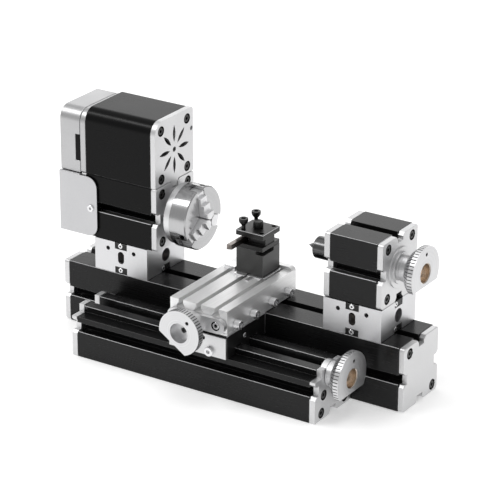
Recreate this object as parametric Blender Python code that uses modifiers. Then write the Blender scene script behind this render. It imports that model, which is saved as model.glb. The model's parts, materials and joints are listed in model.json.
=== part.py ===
"""Small modular bench lathe: slotted bed, headstock, cross slide and tailstock.

Lengths are millimetres in bed coordinates while the pieces are drawn: X runs from the
bed's left end (headstock) to its right end (tailstock), Y is 0 on the bed's centre line
and negative towards the operator, Z is 0 on the bench. Meshes are stored in metres in
the shared frame, whose origin is the middle of the whole machine's footprint.
"""
import bpy
import bmesh
from math import asin, cos, pi, radians, sin
from mathutils import Matrix, Vector

# Shared frame ---------------------------------------------------------------------------
MM = 0.001
FRAME_X = 149.95
FRAME_Y = -37.2
GAP = 0.3
ROUND = 32

# The 50 mm slotted section used for the bed and both housings ---------------------------
SECTION = 50.0
HALF = SECTION / 2
COVER = 4.5
SLOT_HALF = 3.8
SLOT_LIP = 5.5
SLOT_INNER_HALF = 6.0
SLOT_DEPTH = 9.7
NOTCH_HALF = 6.0
NOTCH_DEPTH = 5.3
EXTRUSION_EDGE = 0.8
COVER_EDGE = 2.2

# Bed ------------------------------------------------------------------------------------
BED_LENGTH = 300.0
BED_BORE = 8.0

# Raisers and the couplers that key them to the slots -----------------------------------
RAISER_LENGTH = 48.0
RAISER_LOW = SECTION + GAP
RAISER_TOP = SECTION + 25.2
WINDOW_HALF = 5.5
WINDOW_DEPTH = 5.2
RAISER_BORE = 5.2
RAISER_BORE_Z = 63.0
HEAD_RAISER_X = 29.6
TAIL_RAISER_X = 232.2
COUPLER_TONGUE = 18.8

# Headstock ------------------------------------------------------------------------------
AXIS_Z = 100.5
HOUSING_BASE = AXIS_Z - HALF
HEAD_LEFT = 22.8
HEAD_RIGHT = 81.7
SPINDLE_BORE = 12.5
MOTOR_Z = 150.0
MOTOR_BASE = AXIS_Z + HALF + GAP
MOTOR_TOP = 176.5
REAR_TOP = 174.5
CROWN_RADIUS = 10.0
CROWN_BACK_RADIUS = 3.0
CAP_LEFT = -0.8
CAP_RIGHT = 17.3
BELT_X = 9.0
BELT_WIDTH = 5.0
BELT_THICK = 1.5
SPINDLE_GROOVE = 15.0
MOTOR_GROOVE = 9.0

# Chuck ----------------------------------------------------------------------------------
CHUCK_RADIUS = 24.6
CHUCK_BACK = 91.35
CHUCK_SEAT = 97.25
CHUCK_FACE = 111.7
JAW_HALF = 4.2
JAW_ANGLES = (98.0, 218.0, 338.0)

# Longitudinal slide ---------------------------------------------------------------------
SLIDE_LEFT = 43.75
SLIDE_RIGHT = 256.5
SLIDE_FRONT = -75.0
SLIDE_BACK = -HALF - GAP
SLIDE_SHOULDER = 32.4
RAIL_TOP = 38.0
CHANNEL_FLOOR = 24.0
SCREW_Y = -53.0
SCREW_Z = 32.1
SCREW_RADIUS = 2.8

# Saddle and cross slide -----------------------------------------------------------------
TABLE_LEFT = 133.8
TABLE_RIGHT = 183.0
TABLE_FRONT = -76.0
TABLE_BACK = 12.0
TABLE_TOP = 70.0
TABLE_MID = 158.4
TABLE_SLOTS = (143.0, 158.4, 173.8)
CROSS_Z = 56.7
CROSS_RADIUS = 2.4
GIB_SCREWS = (-65.5, -43.2, -18.2, 3.7)

# Tool post ------------------------------------------------------------------------------
POST_X = 160.5
RISER_TOP = 90.5
CLAMP_SCREWS = (-8.7, 8.5)

# Tailstock ------------------------------------------------------------------------------
TAIL_LEFT = TAIL_RAISER_X
TAIL_RIGHT = TAIL_RAISER_X + RAISER_LENGTH
QUILL_RADIUS = 8.3

# Colour, roughness and metallic of each finish -----------------------------------------
FINISHES = {
    "black_anodised": ((0.016, 0.016, 0.017), 0.38, 0.6),
    "silver": ((0.74, 0.75, 0.76), 0.30, 1.0),
    "polished": ((0.80, 0.80, 0.80), 0.16, 1.0),
    "black_oxide": ((0.030, 0.029, 0.028), 0.42, 0.8),
    "dark_steel": ((0.20, 0.19, 0.18), 0.30, 1.0),
    "bright_steel": ((0.60, 0.60, 0.61), 0.24, 1.0),
    "brass": ((0.72, 0.52, 0.26), 0.30, 1.0),
    "rubber": ((0.012, 0.012, 0.012), 0.75, 0.0),
}


def clear_scene():
    """Remove every object that the start-up file brings."""
    for item in list(bpy.data.objects):
        bpy.data.objects.remove(item, do_unlink=True)


def new_collection(name):
    """Make a collection and link it to the scene."""
    group = bpy.data.collections.new(name)
    bpy.context.scene.collection.children.link(group)
    return group


clear_scene()
LATHE = new_collection("metal_lathe")
CUTTERS = new_collection("cutters")


# Outlines -------------------------------------------------------------------------------
def arc(centre, radius, start, end, steps):
    """Points of an arc, angles in degrees, both ends included."""
    points = []
    for i in range(steps + 1):
        angle = radians(start + (end - start) * i / steps)
        points.append((centre[0] + radius * cos(angle), centre[1] + radius * sin(angle)))
    return points


def circle(centre, radius, count=ROUND):
    """Points of a full circle."""
    return arc(centre, radius, 0, 360 - 360 / count, count - 1)


def rectangle(u_low, v_low, u_high, v_high):
    """Corner points of a rectangle."""
    return [(u_low, v_low), (u_high, v_low), (u_high, v_high), (u_low, v_high)]


def t_slot():
    """One T-slot as (offset, depth) points, from its left lip to its right lip."""
    taper = 1.6
    left = [
        (-SLOT_HALF, 0),
        (-SLOT_HALF, SLOT_LIP),
        (-SLOT_INNER_HALF, SLOT_LIP),
        (-SLOT_INNER_HALF, SLOT_DEPTH - taper),
        (-SLOT_INNER_HALF + taper, SLOT_DEPTH),
    ]
    return left + [(-offset, depth) for offset, depth in reversed(left)]


def cover_notch():
    """The flared notch in an end cover, as (offset, depth) points."""
    left = [(-NOTCH_HALF, 0), (-SLOT_HALF, 2.4), (-SLOT_HALF, NOTCH_DEPTH)]
    return left + [(-offset, depth) for offset, depth in reversed(left)]


def square_section(centre, cut, edge):
    """A square outline with the same cut in the middle of all four sides."""
    points = []
    for side in range(4):
        turn = Matrix.Rotation(side * pi / 2, 2)
        flat = [Vector((offset, depth - HALF)) for offset, depth in cut]
        corner_centre = (HALF - edge, edge - HALF)
        flat += [Vector(p) for p in arc(corner_centre, edge, -90, 0, 3)]
        points += [turn @ p for p in flat]
    return [(p.x + centre[0], p.y + centre[1]) for p in points]


def crowned_outline(low, high, inset=0.0, radius=CROWN_RADIUS, foot=()):
    """The upper housing's outline: square foot, wide round in front, small round behind."""
    side = HALF - inset
    small = CROWN_BACK_RADIUS - inset / 2
    back = arc((side - small, high - small), small, 0, 90, 4)
    front = arc((radius - side, high - radius), radius, 90, 180, 6)
    return list(foot) + [(side, low)] + back + front + [(-side, low)]


def belt_outline(low_radius, high_radius):
    """The closed line of a belt round the spindle pulley and the motor pulley."""
    lean = asin((low_radius - high_radius) / (MOTOR_Z - AXIS_Z)) * 180 / pi
    top = arc((0, MOTOR_Z), high_radius, lean, 180 - lean, 14)
    bottom = arc((0, AXIS_Z), low_radius, 180 - lean, 360 + lean, 18)
    return top + bottom


# Mesh makers ----------------------------------------------------------------------------
AXIS_MAPS = {
    "X": Matrix(((0, 0, 1, 0), (1, 0, 0, 0), (0, 1, 0, 0), (0, 0, 0, 1))),
    "Y": Matrix(((1, 0, 0, 0), (0, 0, 1, 0), (0, 1, 0, 0), (0, 0, 0, 1))),
    "Z": Matrix.Identity(4),
}
TO_FRAME = Matrix.Scale(MM, 4) @ Matrix.Translation((-FRAME_X, -FRAME_Y, 0))


def evaluated_mesh(item, name):
    """Turn an object with its modifiers or curve fill into a plain mesh."""
    CUTTERS.objects.link(item)
    graph = bpy.context.evaluated_depsgraph_get()
    mesh = bpy.data.meshes.new_from_object(item.evaluated_get(graph))
    mesh.name = name
    bpy.data.objects.remove(item, do_unlink=True)
    return mesh


def seal(mesh, matrix):
    """Weld the mesh, move it to the shared frame and point its normals outwards."""
    body = bmesh.new()
    body.from_mesh(mesh)
    bmesh.ops.remove_doubles(body, verts=body.verts, dist=0.0005)
    bmesh.ops.transform(body, matrix=matrix, verts=body.verts)
    bmesh.ops.recalc_face_normals(body, faces=body.faces)
    body.to_mesh(mesh)
    body.free()


def filled_curve(name, loops, depth):
    """Extrude several closed loops as a filled curve, so inner loops become holes."""
    curve = bpy.data.curves.new(name, "CURVE")
    curve.dimensions = "2D"
    curve.fill_mode = "BOTH"
    curve.extrude = depth / 2
    for loop in loops:
        line = curve.splines.new("POLY")
        line.points.add(len(loop) - 1)
        for point, (u, v) in zip(line.points, loop):
            point.co = (u, v, 0, 1)
        line.use_cyclic_u = True
    return evaluated_mesh(bpy.data.objects.new(name, curve), name)


def thick_face(name, loop, depth):
    """Extrude one closed loop as a single face."""
    body = bmesh.new()
    corners = [body.verts.new((u, v, -depth / 2)) for u, v in loop]
    face = body.faces.new(corners)
    swept = bmesh.ops.extrude_face_region(body, geom=[face], use_keep_orig=True)
    lifted = [item for item in swept["geom"] if isinstance(item, bmesh.types.BMVert)]
    bmesh.ops.translate(body, verts=lifted, vec=(0, 0, depth))
    mesh = bpy.data.meshes.new(name)
    body.to_mesh(mesh)
    body.free()
    return mesh


def prism(name, axis, start, end, *loops):
    """Extrude closed loops along an axis; inner loops become holes."""
    depth = abs(end - start)
    single = len(loops) == 1
    mesh = thick_face(name, loops[0], depth) if single else filled_curve(name, loops, depth)
    middle = Matrix.Translation((0, 0, (start + end) / 2))
    seal(mesh, TO_FRAME @ AXIS_MAPS[axis] @ middle)
    return mesh


def turned(name, axis, centre, profile, bored=False, steps=ROUND):
    """Turn a (station, radius) profile about an axis through centre."""
    line = bpy.data.meshes.new(name)
    points = [(radius, 0, station) for station, radius in profile]
    edges = [(i, i + 1) for i in range(len(points) - 1)]
    if bored:
        edges.append((len(points) - 1, 0))
    line.from_pydata(points, edges, [])
    item = bpy.data.objects.new(name, line)
    screw = item.modifiers.new("turn", "SCREW")
    screw.axis = "Z"
    screw.steps = steps
    screw.render_steps = steps
    screw.use_merge_vertices = True
    screw.merge_threshold = 0.0001
    mesh = evaluated_mesh(item, name)
    middle = Matrix.Translation((centre[0], centre[1], 0))
    seal(mesh, TO_FRAME @ AXIS_MAPS[axis] @ middle)
    for face in mesh.polygons:
        face.use_smooth = True
    mesh.set_sharp_from_angle(angle=radians(30))
    return mesh


def add(name, mesh, finish, origin=None):
    """Place a mesh as a named piece, with its origin where it turns or slides."""
    item = bpy.data.objects.new(name, mesh)
    LATHE.objects.link(item)
    place_origin(item, origin)
    colour, roughness, metallic = FINISHES[finish]
    material = bpy.data.materials.new(name + "_finish")
    material.use_nodes = True
    shader = material.node_tree.nodes["Principled BSDF"]
    shader.inputs["Base Color"].default_value = (*colour, 1)
    shader.inputs["Roughness"].default_value = roughness
    shader.inputs["Metallic"].default_value = metallic
    mesh.materials.append(material)
    return item


def place_origin(item, origin):
    """Move an object's origin to a bed-coordinate point without moving its mesh."""
    if origin is None:
        return
    point = TO_FRAME @ Vector(origin)
    item.data.transform(Matrix.Translation(-point))
    item.location = point


def shape(item, operation, mesh):
    """Add an exact Boolean with a hidden tool solid."""
    tool = bpy.data.objects.new(item.name + "_tool", mesh)
    CUTTERS.objects.link(tool)
    tool.hide_render = True
    tool.display_type = "WIRE"
    step = item.modifiers.new(operation.lower(), "BOOLEAN")
    step.operation = operation
    step.solver = "EXACT"
    step.object = tool
    return tool


def cut(item, mesh):
    """Take a tool solid away from a piece."""
    return shape(item, "DIFFERENCE", mesh)


def fuse(item, mesh):
    """Add a tool solid to a piece."""
    return shape(item, "UNION", mesh)


def box(name, low, high):
    """A plain rectangular solid between two corner points."""
    return prism(name, "Z", low[2], high[2], rectangle(low[0], low[1], high[0], high[1]))


# Bed ------------------------------------------------------------------------------------
def slotted_bar(name, left, right, height, bore):
    """A length of the slotted section with a round bore along it."""
    outline = square_section((0, height), t_slot(), EXTRUSION_EDGE)
    mesh = prism(name, "X", left, right, outline, circle((0, height), bore))
    return add(name, mesh, "black_anodised")


def slotted_cover(name, left, height, *holes):
    """A silver end cover that follows the slotted section."""
    outline = square_section((0, height), cover_notch(), COVER_EDGE)
    return add(name, prism(name, "X", left, left + COVER, outline, *holes), "silver")


def build_bed():
    """The bed bar and its two end covers."""
    slotted_bar("bed_extrusion", COVER + GAP, BED_LENGTH - COVER - GAP, HALF, BED_BORE)
    slotted_cover("bed_cover_left", 0, HALF)
    slotted_cover("bed_cover_right", BED_LENGTH - COVER, HALF)


# Raisers --------------------------------------------------------------------------------
def raiser_section():
    """A raiser's outline across the bed, with its upper and lower channels."""
    low = RAISER_LOW
    high = RAISER_TOP
    return [
        (-HALF, low),
        (-WINDOW_HALF, low),
        (-WINDOW_HALF, low + WINDOW_DEPTH),
        (WINDOW_HALF, low + WINDOW_DEPTH),
        (WINDOW_HALF, low),
        (HALF, low),
        (HALF, high),
        (WINDOW_HALF, high),
        (WINDOW_HALF, high - WINDOW_DEPTH),
        (-WINDOW_HALF, high - WINDOW_DEPTH),
        (-WINDOW_HALF, high),
        (-HALF, high),
    ]


def obround(centre, half_width, half_height):
    """An upright slot with round ends."""
    rise = half_height - half_width
    top = arc((centre[0], centre[1] + rise), half_width, 0, 180, 8)
    bottom = arc((centre[0], centre[1] - rise), half_width, 180, 360, 8)
    return top + bottom


def build_raiser(name, left):
    """A raiser block with crossed channels and its clamping holes."""
    middle = left + RAISER_LENGTH / 2
    bore = circle((0, RAISER_BORE_Z), RAISER_BORE)
    mesh = prism(name, "X", left, left + RAISER_LENGTH, raiser_section(), bore)
    raiser = add(name, mesh, "silver")
    lower = rectangle(middle - WINDOW_HALF, 49, middle + WINDOW_HALF, RAISER_LOW + WINDOW_DEPTH)
    upper = rectangle(middle - WINDOW_HALF, RAISER_TOP - WINDOW_DEPTH, middle + WINDOW_HALF, 77)
    slot = obround((middle, 63.3), 2.8, 5.0)
    cut(raiser, prism(name + "_cross", "Y", -HALF - 1, HALF + 1, lower, upper, slot))
    return raiser


def plus_outline(middle, reach_x, reach_y, half):
    """A plus sign that fills the raiser's crossed channels."""
    quarter = [(reach_x, -half), (reach_x, half), (half, half), (half, reach_y), (-half, reach_y)]
    rest = [(-half, half), (-reach_x, half), (-reach_x, -half), (-half, -half)]
    tail = [(-half, -reach_y), (half, -reach_y), (half, -half)]
    return [(middle + x, y) for x, y in quarter + rest + tail]


def build_coupler(name, left, upward):
    """A crossed key that locks a raiser to the T-slot above or below it."""
    middle = left + RAISER_LENGTH / 2
    reach_x = RAISER_LENGTH / 2 - GAP
    half = WINDOW_HALF - GAP
    plus = plus_outline(middle, reach_x, HALF - GAP, half)
    low = RAISER_TOP - WINDOW_DEPTH + GAP if upward else RAISER_LOW + GAP
    coupler = add(name, prism(name, "Z", low, low + 4.5, plus), "black_oxide")
    mirror = 1 if upward else -1
    face = HOUSING_BASE if upward else SECTION
    root = face - mirror * 2.5
    neck_end = face + mirror * (SLOT_LIP + GAP)
    head_end = face + mirror * (SLOT_DEPTH - GAP)
    neck = SLOT_HALF - GAP
    head = SLOT_INNER_HALF - GAP
    tip = head - 1.8
    right = [(neck, root), (neck, neck_end), (head, neck_end), (head, head_end - mirror * 1.8)]
    right.append((tip, head_end))
    tongue = right + [(-y, z) for y, z in reversed(right)]
    start = middle - COUPLER_TONGUE
    fuse(coupler, prism(name + "_tongue", "X", start, middle + COUPLER_TONGUE, tongue))
    return coupler


# Headstock ------------------------------------------------------------------------------
def build_spindle_housing():
    """The lower housing with its two covers; the spindle runs through all three."""
    slotted_bar("spindle_housing", HEAD_LEFT, HEAD_RIGHT, AXIS_Z, SPINDLE_BORE)
    rear_left = HEAD_LEFT - GAP - COVER
    slotted_cover("spindle_cover_left", rear_left, AXIS_Z, circle((0, AXIS_Z), 8.6))
    slotted_cover("spindle_cover_right", HEAD_RIGHT + GAP, AXIS_Z, circle((0, AXIS_Z), 10.5))


def build_motor_housing():
    """The upper housing that holds the motor."""
    outline = crowned_outline(MOTOR_BASE, MOTOR_TOP)
    bore = circle((0, MOTOR_Z), 19.0)
    mesh = prism("motor_housing", "X", HEAD_LEFT, HEAD_RIGHT, outline, bore)
    return add("motor_housing", mesh, "black_anodised")


def vent_petal(index):
    """One of the eight leaf-shaped vents round the motor's axis."""
    inner, outer, half_width, steps = 5.6, 19.2, 1.7, 4
    middle = (inner + outer) / 2
    reach = (outer - inner) / 2
    points = []
    for side in (1, -1):
        for i in range(steps):
            along = -1 + 2 * i / steps
            across = half_width * (1 - along * along)
            points.append((middle + side * along * reach, side * across))
    turn = Matrix.Rotation(index * pi / 4, 2)
    turned_points = [turn @ Vector(p) for p in points]
    return [(p.x, p.y + MOTOR_Z) for p in turned_points]


def build_motor_plates():
    """The vented end plate with its locating tongue, and the plate behind the motor."""
    base = MOTOR_BASE
    foot = [(-5.5, base), (-3.5, base - 2.8), (-3.5, base - 5.0)]
    foot += [(-y, z) for y, z in reversed(foot)]
    vents = [vent_petal(i) for i in range(8)]
    outline = crowned_outline(base, MOTOR_TOP + 0.3, 0, CROWN_RADIUS, foot)
    left = HEAD_RIGHT + GAP
    mesh = prism("motor_end_plate", "X", left, left + 4.1, outline, *vents)
    add("motor_end_plate", mesh, "silver")
    shaft = circle((0, MOTOR_Z), 6.0, 24)
    rear = crowned_outline(base, REAR_TOP)
    mesh = prism("motor_rear_plate", "X", CAP_RIGHT + GAP, HEAD_LEFT - GAP, rear, shaft)
    add("motor_rear_plate", mesh, "silver")


def build_motor_cap():
    """The hollow cap over the belt, open towards the belt guard below."""
    cap = add("motor_cap", prism("motor_cap", "X", CAP_LEFT, CAP_RIGHT,
                                 crowned_outline(AXIS_Z + 24.2, REAR_TOP)), "silver")
    hollow = crowned_outline(AXIS_Z + 20, REAR_TOP - 2, 2, CROWN_RADIUS - 2)
    cut(cap, prism("cap_hollow", "X", CAP_LEFT + 2, CAP_RIGHT + 5, hollow))
    cut(cap, box("cap_window", (13.1, -HALF - 1, 134.2), (18, -HALF + 3, 155)))
    return cap


def build_belt_guard():
    """The folded sheet round the belt, with rounded corners on its two wings."""
    outer = HALF + 2.0
    inner = HALF + 1.0
    left, right = -1.2, 33.4
    fold = [
        (right, -outer),
        (right, -inner),
        (left + 1, -inner),
        (left + 1, inner),
        (right, inner),
        (right, outer),
        (left, outer),
        (left, -outer),
    ]
    guard = add("belt_guard", prism("belt_guard", "Z", 76.0, 123.8, fold), "silver")
    radius = 8.5
    upper = arc((right - radius, 123.8 - radius), radius, 0, 90, 6)
    upper += [(right - radius, 125), (right + 1, 125), (right + 1, 123.8 - radius)]
    lower = arc((right - radius, 76 + radius), radius, 270, 360, 6)
    lower += [(right + 1, 76 + radius), (right + 1, 75), (right - radius, 75)]
    cut(guard, prism("guard_corners", "Y", -outer - 1, outer + 1, upper, lower))
    return guard


def pulley_profile(groove, bore):
    """A flanged pulley's profile about its own axis."""
    half = BELT_WIDTH / 2 + GAP
    rim = half + 1.7
    return [
        (BELT_X - rim, bore),
        (BELT_X - rim, groove + 2.2),
        (BELT_X - half, groove + 2.2),
        (BELT_X - half, groove),
        (BELT_X + half, groove),
        (BELT_X + half, groove + 2.2),
        (BELT_X + rim, groove + 2.2),
        (BELT_X + rim, bore),
    ]


def build_drive():
    """The motor, its shaft with the small pulley, and the belt."""
    axis = (0, MOTOR_Z)
    can = [(29, 0), (29, 2.9), (26, 2.9), (26, 5.5), (30, 5.5), (30, 17), (31, 17.8)]
    can += [(75, 17.8), (76, 17), (76, 0)]
    add("motor", turned("motor", "X", axis, can), "dark_steel")
    shaft = [(3.5, 0), (3.5, 2.5)] + pulley_profile(MOTOR_GROOVE, 2.5)
    shaft += [(28.5, 2.5), (28.5, 0)]
    mesh = turned("motor_pulley", "X", axis, shaft)
    add("motor_pulley", mesh, "bright_steel", (BELT_X, 0, MOTOR_Z))
    inner = belt_outline(SPINDLE_GROOVE + 0.15, MOTOR_GROOVE + 0.15)
    thick = 0.15 + BELT_THICK
    outer = belt_outline(SPINDLE_GROOVE + thick, MOTOR_GROOVE + thick)
    half = BELT_WIDTH / 2
    mesh = prism("drive_belt", "X", BELT_X - half, BELT_X + half, outer, inner)
    add("drive_belt", mesh, "rubber")


def build_spindle():
    """The hollow spindle, its bearings and its pulley."""
    axis = (0, AXIS_Z)
    origin = (BELT_X, 0, AXIS_Z)
    outline = [
        (3.0, 4.0),
        (3.0, 6.0),
        (33.4, 6.0),
        (33.4, 8.0),
        (70.0, 8.0),
        (70.0, 6.0),
        (80.4, 6.0),
        (80.4, 10.0),
        (91.0, 10.0),
        (91.0, 7.5),
        (97.0, 7.5),
        (97.0, 4.0),
    ]
    add("spindle", turned("spindle", "X", axis, outline, True), "bright_steel", origin)
    for name, left in (("spindle_bearing_rear", 24.0), ("spindle_bearing_front", 70.3)):
        width = 9.0
        ring = [
            (left, 6.25),
            (left, 7.6),
            (left + 0.6, 7.9),
            (left + 0.6, 10.4),
            (left, 10.7),
            (left, 12.2),
            (left + width, 12.2),
            (left + width, 6.25),
        ]
        add(name, turned(name, "X", axis, ring, True), "bright_steel")
    mesh = turned("spindle_pulley", "X", axis, pulley_profile(SPINDLE_GROOVE, 6.3), True)
    add("spindle_pulley", mesh, "bright_steel", origin)


def build_jaw(index, angle):
    """One stepped jaw; it is drawn along +Y and then turned round the spindle."""
    name = "chuck_jaw_%d" % (index + 1)
    steps = [
        (101.6, 0.8),
        (119.0, 0.8),
        (119.0, 6.5),
        (116.3, 6.5),
        (116.3, 12.5),
        (113.8, 12.5),
        (113.8, 18.0),
        (111.4, 18.0),
        (111.4, 21.3),
        (101.6, 21.3),
    ]
    half = JAW_HALF + 1
    mesh = prism(name, "Z", AXIS_Z - half, AXIS_Z + half, steps)
    jaw = add(name, mesh, "polished", (CHUCK_FACE, 0, AXIS_Z))
    tip = [(0.8, -0.95), (2.9, -JAW_HALF), (22, -JAW_HALF)]
    tip += [(y, -z) for y, z in reversed(tip)]
    plan = [(y, z + AXIS_Z) for y, z in tip]
    tool = shape(jaw, "INTERSECT", prism(name + "_plan", "X", 100, 120, plan))
    place_origin(tool, (CHUCK_FACE, 0, AXIS_Z))
    for item in (jaw, tool):
        item.rotation_euler.x = radians(angle)
    return jaw


def build_chuck():
    """The backplate, the slotted body and three jaws."""
    axis = (0, AXIS_Z)
    origin = (CHUCK_FACE, 0, AXIS_Z)
    plate_end = CHUCK_SEAT - GAP
    ring = [(CHUCK_BACK, 7.8), (CHUCK_BACK, 22.9), (CHUCK_BACK + 0.5, 23.4)]
    ring += [(plate_end, 23.4), (plate_end, 7.8)]
    mesh = turned("chuck_backplate", "X", axis, ring, True, 48)
    add("chuck_backplate", mesh, "polished", origin)
    shell = [
        (CHUCK_SEAT, 5.6),
        (CHUCK_SEAT, CHUCK_RADIUS),
        (CHUCK_FACE - 0.8, CHUCK_RADIUS),
        (CHUCK_FACE, CHUCK_RADIUS - 0.8),
        (CHUCK_FACE, 5.6),
    ]
    mesh = turned("chuck_body", "X", axis, shell, True, 48)
    body = add("chuck_body", mesh, "polished", origin)
    half = JAW_HALF + 0.2
    for angle in JAW_ANGLES:
        low = (101.3, 0, AXIS_Z - half)
        tool = cut(body, box("jaw_slot", low, (CHUCK_FACE + 1, 26, AXIS_Z + half)))
        place_origin(tool, origin)
        tool.rotation_euler.x = radians(angle)
    for index, angle in enumerate(JAW_ANGLES):
        build_jaw(index, angle)


# Longitudinal slide ---------------------------------------------------------------------
def slide_rails(top):
    """The upper half of the slide's outline, from its back edge to its front edge."""
    return [
        (-39.0, SLIDE_SHOULDER),
        (-37.0, top),
        (-46.0, top),
        (-46.0, CHANNEL_FLOOR),
        (-57.2, CHANNEL_FLOOR),
        (-57.2, top),
        (-66.0, top),
        (-64.0, SLIDE_SHOULDER),
    ]


def slide_outline(cut_points, side_cuts, channel):
    """The slide's outline with a cut below and, if wanted, in its front and back."""
    middle = (SLIDE_FRONT - HALF) / 2
    back_mid, front_mid = HALF, 24.25
    points = [(SLIDE_FRONT, 0)]
    points += [(middle + offset, depth) for offset, depth in cut_points]
    points.append((SLIDE_BACK, 0))
    if side_cuts:
        points += [(SLIDE_BACK - depth, back_mid + offset) for offset, depth in cut_points]
    points += [(SLIDE_BACK, SLIDE_SHOULDER)] + channel + [(SLIDE_FRONT, SLIDE_SHOULDER)]
    front = [(SLIDE_FRONT + depth, front_mid - offset) for offset, depth in cut_points]
    return points + front


def build_slide():
    """The slide bar, its covers and the key that ties it to the bed."""
    left, right = SLIDE_LEFT + COVER + GAP, SLIDE_RIGHT - COVER - GAP
    outline = slide_outline(t_slot(), True, slide_rails(RAIL_TOP))
    mesh = prism("slide_extrusion", "X", left, right, outline)
    add("slide_extrusion", mesh, "black_anodised")
    cover_rails = [
        (-37.0, SLIDE_SHOULDER),
        (-37.0, RAIL_TOP + 0.4),
        (-46.0, RAIL_TOP + 0.4),
        (-46.0, 26.0),
        (-57.0, 26.0),
        (-57.0, RAIL_TOP + 0.6),
        (-65.5, RAIL_TOP + 0.6),
        (-65.5, SLIDE_SHOULDER),
    ]
    outline = slide_outline(cover_notch(), False, cover_rails)
    mesh = prism("slide_cover_left", "X", SLIDE_LEFT, SLIDE_LEFT + COVER, outline)
    add("slide_cover_left", mesh, "silver")
    start = SLIDE_RIGHT - COVER
    mesh = prism("slide_cover_right", "X", start, SLIDE_RIGHT, outline)
    cover = add("slide_cover_right", mesh, "silver")
    axis = (SCREW_Y, SCREW_Z)
    fuse(cover, prism("slide_boss", "X", start, SLIDE_RIGHT, circle(axis, 9.8)))
    cut(cover, prism("slide_boss_bore", "X", start - 1, SLIDE_RIGHT + 1, circle(axis, 3.1)))
    build_slide_coupler()


def build_slide_coupler():
    """The double-headed key between the bed's front slot and the slide's back slot."""
    seam = SLIDE_BACK + GAP / 2
    neck = SLOT_HALF - GAP
    head = SLOT_INNER_HALF - GAP
    reach_neck = SLOT_LIP + GAP * 1.5
    reach_head = SLOT_DEPTH - GAP
    half = [(head - 1.8, reach_head), (head, reach_head - 1.8), (head, reach_neck)]
    half.append((neck, reach_neck))
    upper = [(seam + reach, HALF + rise) for rise, reach in half]
    upper += [(seam - reach, HALF + rise) for rise, reach in reversed(half)]
    lower = [(y, 2 * HALF - z) for y, z in reversed(upper)]
    mesh = prism("slide_coupler", "X", 110, 170, upper + lower)
    add("slide_coupler", mesh, "black_oxide")


def build_slide_drive():
    """The lead screw and its handwheel."""
    axis = (SCREW_Y, SCREW_Z)
    rod = [(60, 0), (60, SCREW_RADIUS), (263.0, SCREW_RADIUS), (263.0, 0)]
    mesh = turned("slide_screw", "X", axis, rod, False, 24)
    add("slide_screw", mesh, "bright_steel", (SLIDE_RIGHT, SCREW_Y, SCREW_Z))
    start = SLIDE_RIGHT + GAP
    build_end_wheel("slide_handwheel", start, axis, SCREW_RADIUS + 0.25, -11.2, (2.3, 12.8))


def build_end_wheel(name, start, axis, bore, flat, crank):
    """A 40 mm handwheel on an X axis: hub, graduated cone, flat and crank hole."""
    face = start + 16.8
    profile = [
        (start, bore),
        (start, 9.7),
        (start + 6.8, 9.7),
        (start + 6.8, 14.5),
        (start + 12.6, 20.0),
        (face, 20.0),
        (face, 7.6),
        (face - 9.5, 7.6),
        (face - 9.5, bore),
    ]
    mesh = turned(name, "X", axis, profile, True, 40)
    wheel = add(name, mesh, "polished", (start, axis[0], axis[1]))
    y_mid, z_mid = axis
    low = (start - 1, y_mid - 25, z_mid - 25)
    cut(wheel, box(name + "_flat", low, (face + 1, y_mid + 25, z_mid + flat)))
    hole = circle((y_mid + crank[0], z_mid + crank[1]), 1.4, 12)
    cut(wheel, prism(name + "_crank", "X", face - 3, face + 1, hole))
    return wheel


# Saddle and cross slide -----------------------------------------------------------------
def build_saddle():
    """The saddle with its lug round the lead screw, and its front plate."""
    outline = [
        (TABLE_FRONT, SLIDE_SHOULDER + GAP),
        (-64.4, SLIDE_SHOULDER + GAP),
        (-66.4, RAIL_TOP + GAP),
        (-56.9, RAIL_TOP + GAP),
        (-56.9, 27.4),
        (-46.4, 27.4),
        (-46.4, RAIL_TOP + GAP),
        (-36.6, RAIL_TOP + GAP),
        (-38.6, SLIDE_SHOULDER + GAP),
        (-28.0, SLIDE_SHOULDER + GAP),
        (SLIDE_BACK, 34.2),
        (SLIDE_BACK, 50.2),
        (TABLE_FRONT, 50.2),
    ]
    hole = circle((SCREW_Y, SCREW_Z), SCREW_RADIUS + 0.2, 24)
    mesh = prism("saddle", "X", TABLE_LEFT, TABLE_RIGHT, outline, hole)
    add("saddle", mesh, "black_anodised")
    front = TABLE_FRONT - GAP
    low = (TABLE_LEFT, front - 1.7, SLIDE_SHOULDER + GAP)
    mesh = box("saddle_front_plate", low, (TABLE_RIGHT, front, 49.1))
    add("saddle_front_plate", mesh, "silver")


def build_cross_base():
    """The dovetail base of the cross slide."""
    outline = [
        (TABLE_LEFT, 50.5),
        (TABLE_RIGHT, 50.5),
        (TABLE_RIGHT, 52.3),
        (174.0, 52.3),
        (176.0, 58.6),
        (166.6, 58.6),
        (166.6, 53.2),
        (150.2, 53.2),
        (150.2, 58.6),
        (137.9, 58.6),
        (139.9, 52.3),
        (TABLE_LEFT, 52.3),
    ]
    mesh = prism("cross_base", "Y", TABLE_FRONT, TABLE_BACK - GAP, outline)
    add("cross_base", mesh, "silver")


def table_slot(middle):
    """One clamping slot of the table: narrow mouth over a wider triangular root."""
    half = [(1.9, TABLE_TOP), (1.9, 67.6), (4.0, 64.4), (4.0, 63.6)]
    right = [(middle + x, z) for x, z in half]
    return right + [(middle - x, z) for x, z in reversed(half)]


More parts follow.
